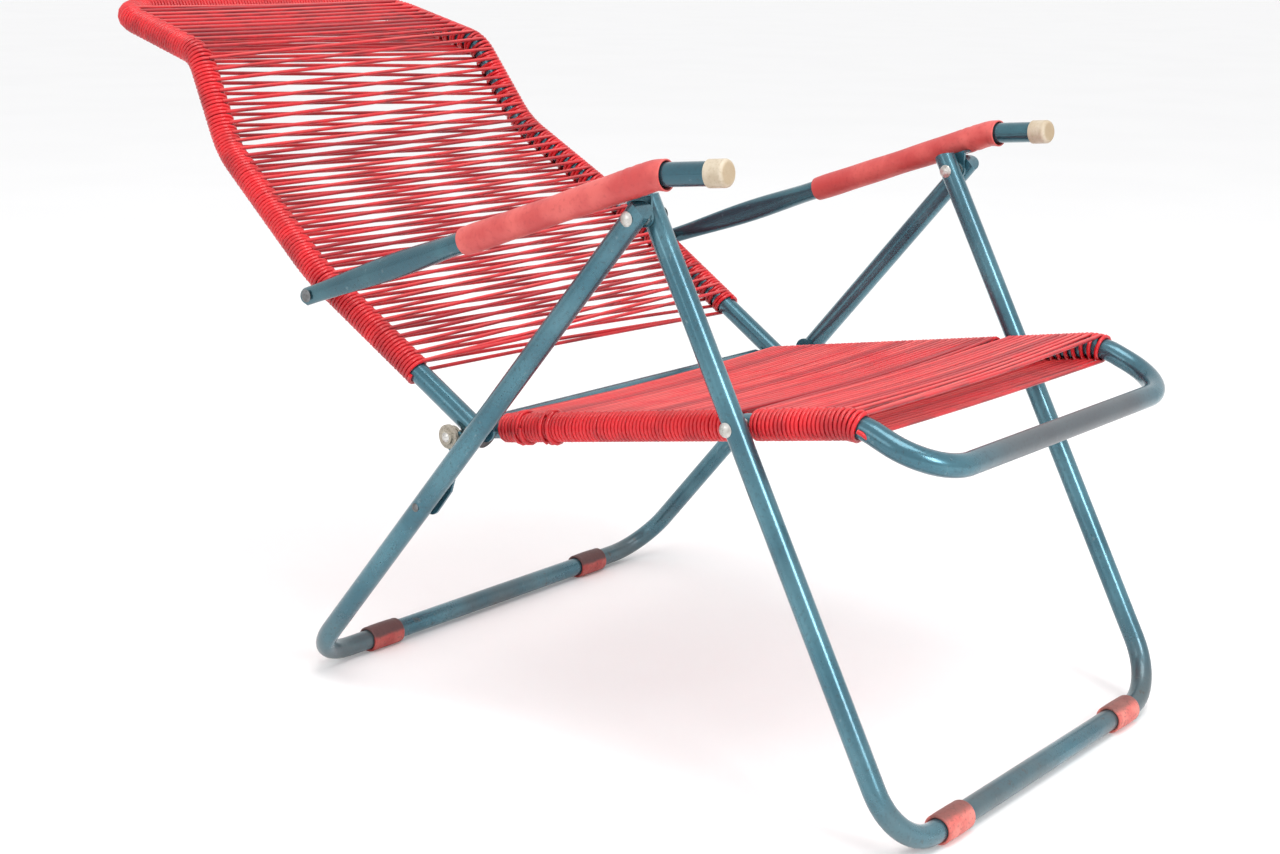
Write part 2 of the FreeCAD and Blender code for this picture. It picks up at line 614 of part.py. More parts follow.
# ---- apex rivets and washers --------------------------------------------------------------------------------------
apex_rivet_left = rivet(FRONT_LEG_X - TUBE_R - FIT, REAR_LEG_X + TUBE_R + FIT, APEX)
washers = []
inner_gap = (FRONT_LEG_X + TUBE_R + FIT, BRACKET_X - FIT)
outer_gap = (BRACKET_X + BRACKET_T + FIT, REAR_LEG_X - TUBE_R - FIT)
for x0, x1 in (inner_gap, outer_gap):
    disc = cross_bar(x0, x1, APEX, 8.0)
    washers.append(disc.cut(cross_bar(x0 - 1, x1 + 1, APEX, RIVET_R + FIT)))

# ---- export -----------------------------------------------------------------------------------------------------------
os.makedirs("parts", exist_ok=True)
save("front_leg_frame", front_leg_frame)
save("rear_leg_frame", rear_leg_frame)
save("front_foot_clip_left", foot_clip(FRONT_CLIP_X, FRONT_RAIL[0]))
save("front_foot_clip_right", foot_clip(-FRONT_CLIP_X, FRONT_RAIL[0]))
save("rear_foot_clip_left", foot_clip(REAR_CLIP_X, REAR_RAIL[0]))
save("rear_foot_clip_right", foot_clip(-REAR_CLIP_X, REAR_RAIL[0]))
save("latch_plate_left", latch_plate_left)
save("latch_plate_right", mirrored(latch_plate_left))
save("latch_plate_rivets", group(plate_rivets + [mirrored(r) for r in plate_rivets]))
save("arm_tube_left", arm_tube_left)
save("arm_tube_right", mirrored(arm_tube_left))
save("arm_sleeve_left", arm_sleeve_left)
save("arm_sleeve_right", mirrored(arm_sleeve_left))
save("arm_cap_left", arm_cap_left)
save("arm_cap_right", mirrored(arm_cap_left))
save("arm_bracket_left", arm_bracket_left)
save("arm_bracket_right", mirrored(arm_bracket_left))
save("apex_rivets", both_sides(apex_rivet_left))
save("apex_washers", group(washers + [mirrored(w) for w in washers]))
save("back_frame", back_frame)
save("back_wrap_left", back_wrap_left)
save("back_wrap_right", back_wrap_right)
save("back_wrap_top", back_wrap_top)
save("back_web_front", back_web_front)
save("back_web_rear", back_web_rear)
save("back_end_plugs", both_sides(back_end_plug_left))
save("back_pivot_pins", both_sides(back_pivot_pin_left))
save("arm_pins", both_sides(arm_pin_left))
save("arm_spacers", both_sides(arm_spacer_left))
save("seat_frame", seat_frame)
save("seat_cross_tube", seat_cross_tube)
save("latch_rod", latch_rod)
save("latch_bush_left", latch_bush_left)
save("latch_bush_right", mirrored(latch_bush_left))
save("seat_rivets", both_sides(seat_rivet_left))
save("seat_spacers", both_sides(seat_spacer_left))
save("seat_wrap_rear_left", seat_wrap_rear_left)
save("seat_wrap_rear_right", mirrored(seat_wrap_rear_left))
save("seat_wrap_front_left", seat_wrap_front_left)
save("seat_wrap_front_right", mirrored(seat_wrap_front_left))
save("seat_web_top", seat_web_top)
save("seat_web_under", seat_web_under)
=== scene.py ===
# %% [markdown]
# # A folding deck chair strung with red cord
#
# The chair is three bent tube frames on rivets, two arms in plastic sleeves, and a long
# red PVC cord wound round the seat and back rails. The measured model is already built
# and is loaded here as the frame. What is left is the maker's work on the surface: the
# winding, the crossing strands, the mouldings and every finish.

# %% Load the measured frame
import bpy
import bmesh
import math
from mathutils import Matrix, Vector


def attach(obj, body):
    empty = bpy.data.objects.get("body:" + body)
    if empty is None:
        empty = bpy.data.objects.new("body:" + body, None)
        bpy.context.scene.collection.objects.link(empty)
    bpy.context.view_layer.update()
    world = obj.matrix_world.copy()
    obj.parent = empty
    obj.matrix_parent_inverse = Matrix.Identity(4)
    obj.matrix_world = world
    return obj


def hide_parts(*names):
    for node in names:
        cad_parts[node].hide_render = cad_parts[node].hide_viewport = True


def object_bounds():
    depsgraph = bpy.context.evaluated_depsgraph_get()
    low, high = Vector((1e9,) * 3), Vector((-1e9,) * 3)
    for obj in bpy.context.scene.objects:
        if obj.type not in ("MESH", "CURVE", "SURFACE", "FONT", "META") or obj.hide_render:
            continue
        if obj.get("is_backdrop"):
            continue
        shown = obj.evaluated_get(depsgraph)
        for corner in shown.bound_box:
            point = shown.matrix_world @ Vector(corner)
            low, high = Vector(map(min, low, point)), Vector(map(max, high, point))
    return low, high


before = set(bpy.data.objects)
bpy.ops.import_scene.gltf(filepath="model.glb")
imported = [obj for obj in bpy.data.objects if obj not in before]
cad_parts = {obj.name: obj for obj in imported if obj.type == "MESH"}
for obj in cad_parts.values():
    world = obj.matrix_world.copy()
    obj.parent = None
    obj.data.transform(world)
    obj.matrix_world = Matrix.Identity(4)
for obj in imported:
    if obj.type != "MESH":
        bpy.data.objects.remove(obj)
cad_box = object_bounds()
print("box of the frame, metres:", [[round(value, 4) for value in corner] for corner in cad_box])

# %% [markdown]
# ## Setting out
#
# The chair was drawn from the side, in millimetres, with zero over its front floor rail.
# One small function turns such a point and a half width into a place in this scene, so
# every later cell can speak in the millimetres that a workshop would use.

# %% Places in the side view
MIDDLE = 573.25                       # the middle of the chair, measured from the front rail
MM = 0.001


def place(x, y, z):
    """A point in metres from millimetres: to the side, back from the front rail, up."""
    return Vector((x * MM, (y - MIDDLE) * MM, z * MM))


def step_toward(start, end, distance):
    """The point a distance in millimetres from start on the way to end."""
    return start + (end - start).normalized() * distance * MM


print("front rail lies at", place(0, 0, 14))

# %% [markdown]
# ## Rail lines
#
# A rail is straight runs with rounded bends. Its middle line is laid out here as a chain
# of short steps, and the cord is later wound on that line. A Bezier curve would also do,
# but its handles only come near a true bend, and the cord has to lie on the tube.

# %% Lay out the middle line of a bent tube
def bent_line(corners, radii, step=0.002):
    """Points along straight runs joined by round bends; corners in metres, radii in mm."""
    points = [corners[0].copy()]
    for corner, before, after, radius in zip(corners[1:-1], corners, corners[2:], radii):
        back_way = (before - corner).normalized()
        on_way = (after - corner).normalized()
        half = back_way.angle(on_way) / 2
        radius = radius * MM
        reach = radius / math.tan(half)
        start, end = corner + back_way * reach, corner + on_way * reach
        centre = corner + (back_way + on_way).normalized() * (radius / math.sin(half))
        turn = math.pi - 2 * half
        count = max(4, int(turn * radius / step))
        first, last = start - centre, end - centre
        for k in range(count + 1):
            share = k / count
            way = first * math.sin((1 - share) * turn) + last * math.sin(share * turn)
            points.append(centre + way / math.sin(turn))
    points.append(corners[-1].copy())
    return points


def line_object(name, points):
    """A chain of edges that a node tree can read as a curve."""
    mesh = bpy.data.meshes.new(name)
    mesh.from_pydata(points, [(k, k + 1) for k in range(len(points) - 1)], [])
    line = bpy.data.objects.new(name, mesh)
    bpy.context.scene.collection.objects.link(line)
    return line


def length_of(points):
    return sum((b - a).length for a, b in zip(points, points[1:]))


def other_side(points):
    return [Vector((-point.x, point.y, point.z)) for point in points]


# %% The rails that carry cord
BACK_CORNERS = [
    place(259, 505.888, 305.654),
    place(271, 742, 449),
    place(240, 918, 561),
    place(224, 984, 662),
    place(216, 1146, 704),
]
BACK_BENDS = [300, 110, 45]
HEAD_BEND = 45
BARE_SHARE = 0.38                     # the lowest part of the back has no cord

back_start = BACK_CORNERS[0].lerp(BACK_CORNERS[1], BARE_SHARE)
head_left = [step_toward(BACK_CORNERS[4], BACK_CORNERS[3], HEAD_BEND), BACK_CORNERS[4]]
head_corners = head_left + other_side(reversed(head_left))
back_corners = [back_start] + BACK_CORNERS[1:4]
BACK_LEFT = bent_line(back_corners + [head_left[0]], BACK_BENDS)
HEAD_LINE = bent_line(head_corners, [HEAD_BEND, HEAD_BEND])

SEAT_REAR_Y, SEAT_BEND_Y = 502.95, 96.83
SEAT_REAR_END = place(233, SEAT_REAR_Y, 312.28)
SEAT_BEND_START = place(233, SEAT_BEND_Y, 385.95)
SEAT_BEND_CORNER = place(233, 84.86, 388.12)
SEAT_BEND_END = place(233, 73.00, 385.46)
SEAT_DROP_BEND = 60
SEAT_WOUND_TO = 502.5                 # the winding ends here, in front of the back's pivot


def on_seat(y):
    """The middle of the left seat rail a distance back from the front floor rail."""
    return SEAT_BEND_START.lerp(SEAT_REAR_END, (y - SEAT_BEND_Y) / (SEAT_REAR_Y - SEAT_BEND_Y))


SEAT_LEFT = bent_line([SEAT_BEND_END, SEAT_BEND_CORNER, on_seat(SEAT_WOUND_TO)], [SEAT_DROP_BEND])


def seat_station(y):
    """How far along the seat rail line a place on its straight part lies, in metres."""
    return length_of(SEAT_LEFT) - (on_seat(SEAT_WOUND_TO) - on_seat(y)).length


for title, points in (("back", BACK_LEFT), ("head", HEAD_LINE), ("seat", SEAT_LEFT)):
    print(title, "rail carries cord over", round(length_of(points) * 1000), "mm")

# %% [markdown]
# ## Small tools for node trees
#
# Both the cord and the finishes are made with nodes. These helpers add a node, set its
# values and join it up, so that each tree below reads as a recipe from top to bottom.

# %% Helpers for nodes
def put(tree, socket, value):
    """Joins a socket to another socket, or sets it to a plain value."""
    if isinstance(value, bpy.types.NodeSocket):
        tree.links.new(value, socket)
    else:
        socket.default_value = value


def add(tree, kind, inputs=None, **settings):
    """A node of a kind with its settings; inputs are values or sockets to link."""
    node = tree.nodes.new(kind)
    for name, value in settings.items():
        setattr(node, name, value)
    for name, value in (inputs or {}).items():
        put(tree, node.inputs[name], value)
    return node


def sum_up(tree, operation, *values):
    """A Math node over numbers and sockets."""
    node = tree.nodes.new("ShaderNodeMath")
    node.operation = operation
    for socket, value in zip(node.inputs, values):
        put(tree, socket, value)
    return node.outputs[0]


def vector_sum(tree, operation, first, second=None, scale=None):
    """A Vector Math node; scale is only for the SCALE operation."""
    node = tree.nodes.new("ShaderNodeVectorMath")
    node.operation = operation
    for number, value in ((0, first), (1, second), (3, scale)):
        if value is not None:
            put(tree, node.inputs[number], value)
    return node.outputs[0]


def between(tree, value, low, high):
    """Where a value lies between two marks, from 0 to 1, smoothly."""
    node = add(tree, "ShaderNodeMapRange", {"Value": value, "From Min": low, "From Max": high},
               interpolation_type="SMOOTHSTEP")
    return node.outputs[0]


def new_tree(name, inputs):
    """An empty geometry tree with named inputs given as (name, socket kind)."""
    tree = bpy.data.node_groups.new(name, "GeometryNodeTree")
    tree.interface.new_socket("Geometry", in_out="OUTPUT", socket_type="NodeSocketGeometry")
    for title, kind in inputs:
        tree.interface.new_socket(title, in_out="INPUT", socket_type="NodeSocket" + kind)
    start = tree.nodes.new("NodeGroupInput")
    return tree, {socket.name: socket for socket in start.outputs}


def end_tree(tree, geometry, material):
    """Every tree ends the same way: smooth faces, realised, with their material."""
    smooth = add(tree, "GeometryNodeSetShadeSmooth", {"Geometry": geometry})
    real = add(tree, "GeometryNodeRealizeInstances", {"Geometry": smooth.outputs[0]})
    painted = add(tree, "GeometryNodeSetMaterial", {"Geometry": real.outputs[0], "Material": material})
    end = tree.nodes.new("NodeGroupOutput")
    tree.links.new(painted.outputs[0], end.inputs[0])


def lines_to_lay(tree, count, points):
    """Straight lines with evenly spread points, with each line's number and the share along it."""
    line = add(tree, "GeometryNodeCurvePrimitiveLine")
    fine = add(tree, "GeometryNodeResampleCurve", {"Curve": line.outputs[0], "Count": points})
    spots = add(tree, "GeometryNodePoints", {"Count": count})
    copies = add(tree, "GeometryNodeInstanceOnPoints", {
        "Points": spots.outputs[0], "Instance": fine.outputs[0]})
    real = add(tree, "GeometryNodeRealizeInstances", {"Geometry": copies.outputs[0]})
    number = add(tree, "GeometryNodeCurveOfPoint").outputs["Curve Index"]
    share = add(tree, "GeometryNodeSplineParameter").outputs["Factor"]
    return real.outputs[0], number, share


def walk_on(tree, rail, along):
    """The place and direction at a length along a rail object."""
    info = add(tree, "GeometryNodeObjectInfo", {"Object": rail})
    curve = add(tree, "GeometryNodeMeshToCurve", {"Mesh": info.outputs["Geometry"]})
    return add(tree, "GeometryNodeSampleCurve", {"Curves": curve.outputs[0], "Length": along}, mode="LENGTH")


def lay_cord(tree, lines, tone, position, diameter, sides, material):
    """Moves the lines into place, keeps a tone on each for the finish, and makes them cord."""
    toned = add(tree, "GeometryNodeStoreNamedAttribute", {"Geometry": lines, "Name": "tone"},
                data_type="FLOAT")
    tree.links.new(tone, toned.inputs["Value"])
    laid = add(tree, "GeometryNodeSetPosition", {"Geometry": toned.outputs[0], "Position": position})
    radius = sum_up(tree, "MULTIPLY", diameter, 0.5)
    ring = add(tree, "GeometryNodeCurvePrimitiveCircle", {"Resolution": sides, "Radius": radius})
    cord = add(tree, "GeometryNodeCurveToMesh", {
        "Curve": laid.outputs[0], "Profile Curve": ring.outputs[0], "Fill Caps": True})
    end_tree(tree, cord.outputs[0], material)


def grow(name, tree, values):
    """Runs a tree on an empty object and keeps the result as a plain mesh object."""
    seed = bpy.data.objects.new(name + "_seed", bpy.data.meshes.new(name + "_seed"))
    bpy.context.scene.collection.objects.link(seed)
    modifier = seed.modifiers.new("grow", "NODES")
    modifier.node_group = tree
    for socket in tree.interface.items_tree:
        if socket.in_out == "INPUT" and socket.name in values:
            modifier[socket.identifier] = values[socket.name]
    seed.update_tag()
    evaluated = seed.evaluated_get(bpy.context.evaluated_depsgraph_get())
    mesh = bpy.data.meshes.new_from_object(evaluated)
    mesh.name = name
    bpy.data.objects.remove(seed)
    piece = bpy.data.objects.new(name, mesh)
    bpy.context.scene.collection.objects.link(piece)
    return piece


# %% [markdown]
# ## The winding
#
# The cord is laid ring beside ring on the rail. After a few rings it leaves for the other
# rail, and it comes back underneath, so between leaving and coming back the inner face of
# the tube is bare. One tree makes a rail: for every strand it lays one short coil, whose
# points are found by walking along the rail line and round it at the same time. Copies of
# one ring would be simpler, but they would not climb, and the strands would not meet them.

# %% Tree that winds cord round a rail
WOUND_SIDES, STRUNG_SIDES = 7, 8      # faces round the cord: few, since there is so much of it


def winding_tree():
    tree, given = new_tree("Wind cord round a rail", [
        ("Rail", "Object"), ("Coils", "Int"), ("Points", "Int"), ("Turn Pitch", "Float"),
        ("First Turn", "Float"), ("Turns", "Float"), ("Turns Between", "Float"), ("Phase", "Float"),
        ("Start Angle", "Float"), ("Sense", "Float"), ("Side", "Float"), ("Coil Radius", "Float"),
        ("Cord Diameter", "Float"), ("Unevenness", "Float"), ("Flat Rail", "Bool"), ("Flat Front", "Vector"),
        ("Seed", "Int"), ("Material", "Material"),
    ])
    lines, number, share = lines_to_lay(tree, given["Coils"], given["Points"])
    ahead = sum_up(tree, "MULTIPLY", number, given["Turns Between"])
    within = sum_up(tree, "MULTIPLY_ADD", share, given["Turns"], ahead)
    turn = sum_up(tree, "ADD", within, given["First Turn"])
    unphased = sum_up(tree, "SUBTRACT", turn, given["Phase"])
    along = sum_up(tree, "MULTIPLY", unphased, given["Turn Pitch"])
    shifted = sum_up(tree, "MULTIPLY_ADD", given["Seed"], 37.0, turn)
    chance = add(tree, "ShaderNodeTexNoise", {"W": shifted, "Scale": 0.9, "Detail": 1.0},
                 noise_dimensions="1D").outputs[0]
    push = sum_up(tree, "MULTIPLY", sum_up(tree, "SUBTRACT", chance, 0.5), given["Unevenness"])
    along = sum_up(tree, "ADD", along, push)

    walk = walk_on(tree, given["Rail"], along)
    tangent = walk.outputs["Tangent"]
    side_front = vector_sum(tree, "NORMALIZE", vector_sum(tree, "CROSS_PRODUCT", (1.0, 0.0, 0.0), tangent))
    front = add(tree, "GeometryNodeSwitch", {
        "Switch": given["Flat Rail"], "False": side_front, "True": given["Flat Front"],
    }, input_type="VECTOR").outputs[0]
    across = vector_sum(tree, "CROSS_PRODUCT", tangent, front)
    outward = vector_sum(tree, "SCALE", across, scale=given["Side"])
    spin = sum_up(tree, "MULTIPLY", sum_up(tree, "MULTIPLY", turn, given["Sense"]), 2 * math.pi)
    angle = sum_up(tree, "ADD", spin, given["Start Angle"])
    lift = sum_up(tree, "MULTIPLY_ADD", push, 0.35, given["Coil Radius"])
    across_by = sum_up(tree, "MULTIPLY", sum_up(tree, "COSINE", angle), lift)
    forward_by = sum_up(tree, "MULTIPLY", sum_up(tree, "SINE", angle), lift)
    sideways = vector_sum(tree, "SCALE", outward, scale=across_by)
    forward = vector_sum(tree, "SCALE", front, scale=forward_by)
    spot = vector_sum(tree, "ADD", vector_sum(tree, "ADD", walk.outputs["Position"], sideways), forward)
    lay_cord(tree, lines, chance, spot, given["Cord Diameter"], WOUND_SIDES, given["Material"])
    return tree


WINDING = winding_tree()
print("winding tree has", len(WINDING.nodes), "nodes")

# %% [markdown]
# ## The strands
#
# Between the rails the cord crosses in two layers, one in front and one behind, which
# lean against each other and give the chair its shimmer. A second tree stretches one line
# from rail to rail for every strand. A strand leaves one ring and reaches the next on the
# other rail, and there it also lags by one place, so a layer leans by nearly two places.
# The other layer leans the opposite way, so a strand crosses about four of its strands.
# A strand is never quite straight, so each one is pushed sideways by its own small random
# amount, most in the middle, and it keeps a random tone that its finish reads later.

# %% Tree that strings two rails
def strand_tree():
    tree, given = new_tree("String two rails", [
        ("Left Rail", "Object"), ("Right Rail", "Object"), ("Strands", "Int"), ("Points", "Int"),
        ("Left Start", "Float"), ("Right Start", "Float"), ("Left Lag", "Int"), ("Right Lag", "Int"),
        ("Strand Pitch", "Float"), ("Layer Offset", "Float"), ("Cord Diameter", "Float"), ("Sag", "Float"),
        ("Unevenness", "Float"), ("Gap Start", "Float"), ("Gap End", "Float"), ("Seed", "Int"),
        ("Material", "Material"),
    ])
    lines, number, share = lines_to_lay(tree, given["Strands"], given["Points"])
    ends, pushed = [], []
    halfway = sum_up(tree, "MULTIPLY", sum_up(tree, "ADD", given["Gap Start"], given["Gap End"]), 0.5)
    lags = sum_up(tree, "ADD", given["Left Lag"], given["Right Lag"])
    last = sum_up(tree, "SUBTRACT", sum_up(tree, "SUBTRACT", given["Strands"], 1.0), lags)
    for side in ("Left", "Right"):
        place_number = sum_up(tree, "MINIMUM", sum_up(tree, "SUBTRACT", number, given[side + " Lag"]), last)
        place_number = sum_up(tree, "MAXIMUM", place_number, 0.0)
        wanted = sum_up(tree, "MULTIPLY_ADD", place_number, given["Strand Pitch"], given[side + " Start"])
        lower = sum_up(tree, "MINIMUM", wanted, given["Gap Start"])
        upper = sum_up(tree, "MAXIMUM", wanted, given["Gap End"])
        past = sum_up(tree, "GREATER_THAN", wanted, halfway)
        keep_back = sum_up(tree, "MULTIPLY", lower, sum_up(tree, "SUBTRACT", 1.0, past))
        along = sum_up(tree, "MULTIPLY_ADD", upper, past, keep_back)
        pushed.append(sum_up(tree, "SUBTRACT", wanted, along))
        ends.append(walk_on(tree, given[side + " Rail"], along))
    mixed = []
    for title in ("Position", "Tangent"):
        left, right = ends[0].outputs[title], ends[1].outputs[title]
        way = vector_sum(tree, "SUBTRACT", right, left)
        mixed.append(vector_sum(tree, "ADD", left, vector_sum(tree, "SCALE", way, scale=share)))
    position, tangent = mixed
    front = vector_sum(tree, "NORMALIZE", vector_sum(tree, "CROSS_PRODUCT", (1.0, 0.0, 0.0), tangent))
    along_rail = vector_sum(tree, "CROSS_PRODUCT", front, (1.0, 0.0, 0.0))
    belly = sum_up(tree, "SINE", sum_up(tree, "MULTIPLY", share, math.pi))
    chance = add(tree, "FunctionNodeRandomValue", {"ID": number, "Seed": given["Seed"]}, data_type="FLOAT")
    chance.inputs[2].default_value = -1.0
    lean = sum_up(tree, "MULTIPLY", sum_up(tree, "MULTIPLY", chance.outputs[1], given["Unevenness"]), belly)
    edge = sum_up(tree, "MINIMUM", share, sum_up(tree, "SUBTRACT", 1.0, share))
    spread = sum_up(tree, "MULTIPLY", sum_up(tree, "ADD", pushed[0], pushed[1]), 0.5)
    lean = sum_up(tree, "MULTIPLY_ADD", spread, between(tree, edge, 0.0, 0.16), lean)
    position = vector_sum(tree, "ADD", position, vector_sum(tree, "SCALE", along_rail, scale=lean))
    height = sum_up(tree, "SUBTRACT", given["Layer Offset"], sum_up(tree, "MULTIPLY", belly, given["Sag"]))
    position = vector_sum(tree, "ADD", position, vector_sum(tree, "SCALE", front, scale=height))
    other_seed = sum_up(tree, "ADD", given["Seed"], 50.0)
    tone = add(tree, "FunctionNodeRandomValue", {"ID": number, "Seed": other_seed}, data_type="FLOAT")
    lay_cord(tree, lines, tone.outputs[1], position, given["Cord Diameter"], STRUNG_SIDES, given["Material"])
    return tree


STRANDS = strand_tree()
print("strand tree has", len(STRANDS.nodes), "nodes")

# %% [markdown]
# ## Finishes
#
# Everything here has spent years in a garden. Two effects are shared by all the finishes
# and are made once as shader groups. One mottles a colour the way old lacquer and plastic
# go blotchy. The other finds where a surface has been rubbed. Painting the wear by hand
# would need a flat layout of each tube, and these need only the place on the object.

# %% Helpers for finishes
def new_effect(name, inputs, outputs):
    """An empty shader group with named sockets; returns the tree, its inputs and its end."""
    tree = bpy.data.node_groups.new(name, "ShaderNodeTree")
    for title, kind in inputs:
        tree.interface.new_socket(title, in_out="INPUT", socket_type="NodeSocket" + kind)
    for title, kind in outputs:
        tree.interface.new_socket(title, in_out="OUTPUT", socket_type="NodeSocket" + kind)
    start = tree.nodes.new("NodeGroupInput")
    end = tree.nodes.new("NodeGroupOutput")
    return tree, {socket.name: socket for socket in start.outputs}, end


def colour_mix(tree, share, first, second):
    """Blends two colours or sockets."""
    node = add(tree, "ShaderNodeMix", data_type="RGBA")
    for number, value in ((0, share), (6, first), (7, second)):
        put(tree, node.inputs[number], value)
    return node.outputs[2]


def noise(tree, spot, scale, detail, roughness=0.5):
    """Cloudy noise at a place, from about 0.2 to 0.8."""
    node = add(tree, "ShaderNodeTexNoise", {
        "Vector": spot, "Scale": scale, "Detail": detail, "Roughness": roughness})
    return node.outputs[0]


def mottle_effect():
    """Fresh colour gone blotchy with the faded one, and grimy in its fine pits."""
    tree, given, end = new_effect(
        "Mottled by age",
        [("Spot", "Vector"), ("Fresh", "Color"), ("Faded", "Color"), ("Grimy", "Color"),
         ("Patch Scale", "Float"), ("Grain Scale", "Float"), ("Grime", "Float")],
        [("Colour", "Color"), ("Patches", "Float"), ("Grain", "Float")],
    )
    patches = noise(tree, given["Spot"], given["Patch Scale"], 4.0)
    grain = noise(tree, given["Spot"], given["Grain Scale"], 3.0)
    faded = colour_mix(tree, between(tree, patches, 0.38, 0.66), given["Fresh"], given["Faded"])
    dirt = sum_up(tree, "MULTIPLY", between(tree, grain, 0.52, 0.74), given["Grime"])
    tree.links.new(colour_mix(tree, dirt, faded, given["Grimy"]), end.inputs["Colour"])
    tree.links.new(patches, end.inputs["Patches"])
    tree.links.new(grain, end.inputs["Grain"])
    return tree


def rub_effect():
    """Masks for chipped spots, fine scratches, and a dull patina that grows near the floor."""
    tree, given, end = new_effect(
        "Rubbed places",
        [("Spot", "Vector"), ("Low", "Float"), ("High", "Float"), ("Scratch Scale", "Float")],
        [("Rub", "Float"), ("Scratches", "Float"), ("Patina", "Float")],
    )
    height = add(tree, "ShaderNodeSeparateXYZ", {"Vector": given["Spot"]}).outputs["Z"]
    near_floor = sum_up(tree, "SUBTRACT", 1.0, between(tree, height, given["Low"], given["High"]))
    blots = noise(tree, given["Spot"], 70.0, 7.0, 0.75)
    clouds = noise(tree, given["Spot"], 9.0, 3.0)
    mark = sum_up(tree, "MULTIPLY_ADD", near_floor, 0.07, blots)
    dulling = sum_up(tree, "MULTIPLY_ADD", near_floor, 0.60, 0.12)
    patina = sum_up(tree, "MULTIPLY", between(tree, clouds, 0.30, 0.70), dulling)
    stretched = add(tree, "ShaderNodeMapping", {"Vector": given["Spot"], "Scale": (1.0, 0.25, 0.25)})
    fine = noise(tree, stretched.outputs[0], given["Scratch Scale"], 2.0)
    tree.links.new(between(tree, mark, 0.66, 0.74), end.inputs["Rub"])
    tree.links.new(between(tree, fine, 0.66, 0.76), end.inputs["Scratches"])
    tree.links.new(patina, end.inputs["Patina"])
    return tree


MOTTLE = mottle_effect()
RUB = rub_effect()


def new_finish(name):
    """A material with only its shader and output, and the place on the object."""
    material = bpy.data.materials.new(name)
    material.use_nodes = True
    tree = material.node_tree
    shader = tree.nodes["Principled BSDF"]
    spot = add(tree, "ShaderNodeTexCoord")
    return material, tree, shader, spot


def effect(tree, group, **values):
    """Places a shared effect with its own values; underscores stand for spaces."""
    node = add(tree, "ShaderNodeGroup", node_tree=group)
    for name, value in values.items():
        put(tree, node.inputs[name.replace("_", " ")], value)
    return node


def bump_from(tree, shader, height, strength, distance):
    """Lets a height stand out of the surface; distance is in metres."""
    bump = add(tree, "ShaderNodeBump", {"Height": height, "Strength": strength, "Distance": distance})
    tree.links.new(bump.outputs[0], shader.inputs["Normal"])


def feed(tree, shader, **values):
    """Joins values to the sockets of the main shader; underscores stand for spaces."""
    for name, value in values.items():
        put(tree, shader.inputs[name.replace("_", " ")], value)


# %% [markdown]
# ## Blue lacquer
#
# The tube has a thin blue lacquer with metal showing through it, so it is bright where
# light strikes and almost slate in the shade. That is a metallic base under a clear coat.
# Near the floor, and on the front rail of the seat where legs rub, it has gone grey-brown.

# %% Tube lacquer
def tube_lacquer(name, fresh, faded, worn, low, high, seat_rub=False):
    """Lacquer over steel, worn between two heights; seat_rub adds the wear of the front rail."""
    material, tree, shader, spot = new_finish(name)
    here = spot.outputs["Object"]
    colour = effect(tree, MOTTLE, Spot=here, Fresh=fresh, Faded=faded, Grimy=(0.022, 0.036, 0.042, 1),
                    Patch_Scale=14.0, Grain_Scale=330.0, Grime=0.40)
    marks = effect(tree, RUB, Spot=here, Low=low, High=high, Scratch_Scale=420.0)
    rub, patina = marks.outputs["Rub"], marks.outputs["Patina"]
    if seat_rub:
        place_on = add(tree, "ShaderNodeSeparateXYZ", {"Vector": here})
        off_middle = sum_up(tree, "ABSOLUTE", place_on.outputs["X"])
        middle = sum_up(tree, "SUBTRACT", 1.0, between(tree, off_middle, 0.10, 0.22))
        front = sum_up(tree, "SUBTRACT", 1.0, between(tree, place_on.outputs["Y"], -0.556, -0.535))
        sat = sum_up(tree, "MULTIPLY", middle, front)
        patina = sum_up(tree, "MAXIMUM", patina, sum_up(tree, "MULTIPLY", sat, 0.74))
    scratched = colour_mix(tree, sum_up(tree, "MULTIPLY", marks.outputs["Scratches"], 0.35),
                           colour.outputs["Colour"], (0.24, 0.33, 0.36, 1))
    dulled = colour_mix(tree, patina, scratched, worn)
    wear = sum_up(tree, "MAXIMUM", sum_up(tree, "MULTIPLY", rub, 0.8), patina)
    feed(tree, shader,
         Base_Color=colour_mix(tree, sum_up(tree, "MULTIPLY", rub, 0.7), dulled, (0.085, 0.070, 0.060, 1)),
         Metallic=sum_up(tree, "MULTIPLY_ADD", wear, -0.25, 0.68),
         Roughness=sum_up(tree, "ADD", sum_up(tree, "MULTIPLY_ADD", wear, 0.20, 0.20),
                          sum_up(tree, "MULTIPLY", colour.outputs["Grain"], 0.08)),
         Coat_Weight=sum_up(tree, "MULTIPLY_ADD", wear, -0.3, 0.40))
    shader.inputs["Coat Roughness"].default_value = 0.10
    height = sum_up(tree, "SUBTRACT", sum_up(tree, "MULTIPLY", colour.outputs["Grain"], 0.35), rub)
    bump_from(tree, shader, height, 0.12, 0.0003)
    return material


BLUE = (0.038, 0.130, 0.174, 1)
BLUE_PALE = (0.070, 0.192, 0.242, 1)
DEEP_BLUE = (0.024, 0.095, 0.130, 1)
DEEP_BLUE_PALE = (0.040, 0.135, 0.170, 1)
WORN_STEEL = (0.105, 0.110, 0.108, 1)
RUBBED_STEEL = (0.105, 0.088, 0.088, 1)
frame_lacquer = tube_lacquer("Frame lacquer", BLUE, BLUE_PALE, WORN_STEEL, 0.02, 0.12)
seat_lacquer = tube_lacquer("Rubbed lacquer", BLUE, BLUE_PALE, RUBBED_STEEL, 0.0, 0.01, seat_rub=True)
arm_lacquer = tube_lacquer("Arm lacquer", DEEP_BLUE, DEEP_BLUE_PALE, WORN_STEEL, 0.0, 0.01)
print("lacquers:", frame_lacquer.name, seat_lacquer.name, arm_lacquer.name)

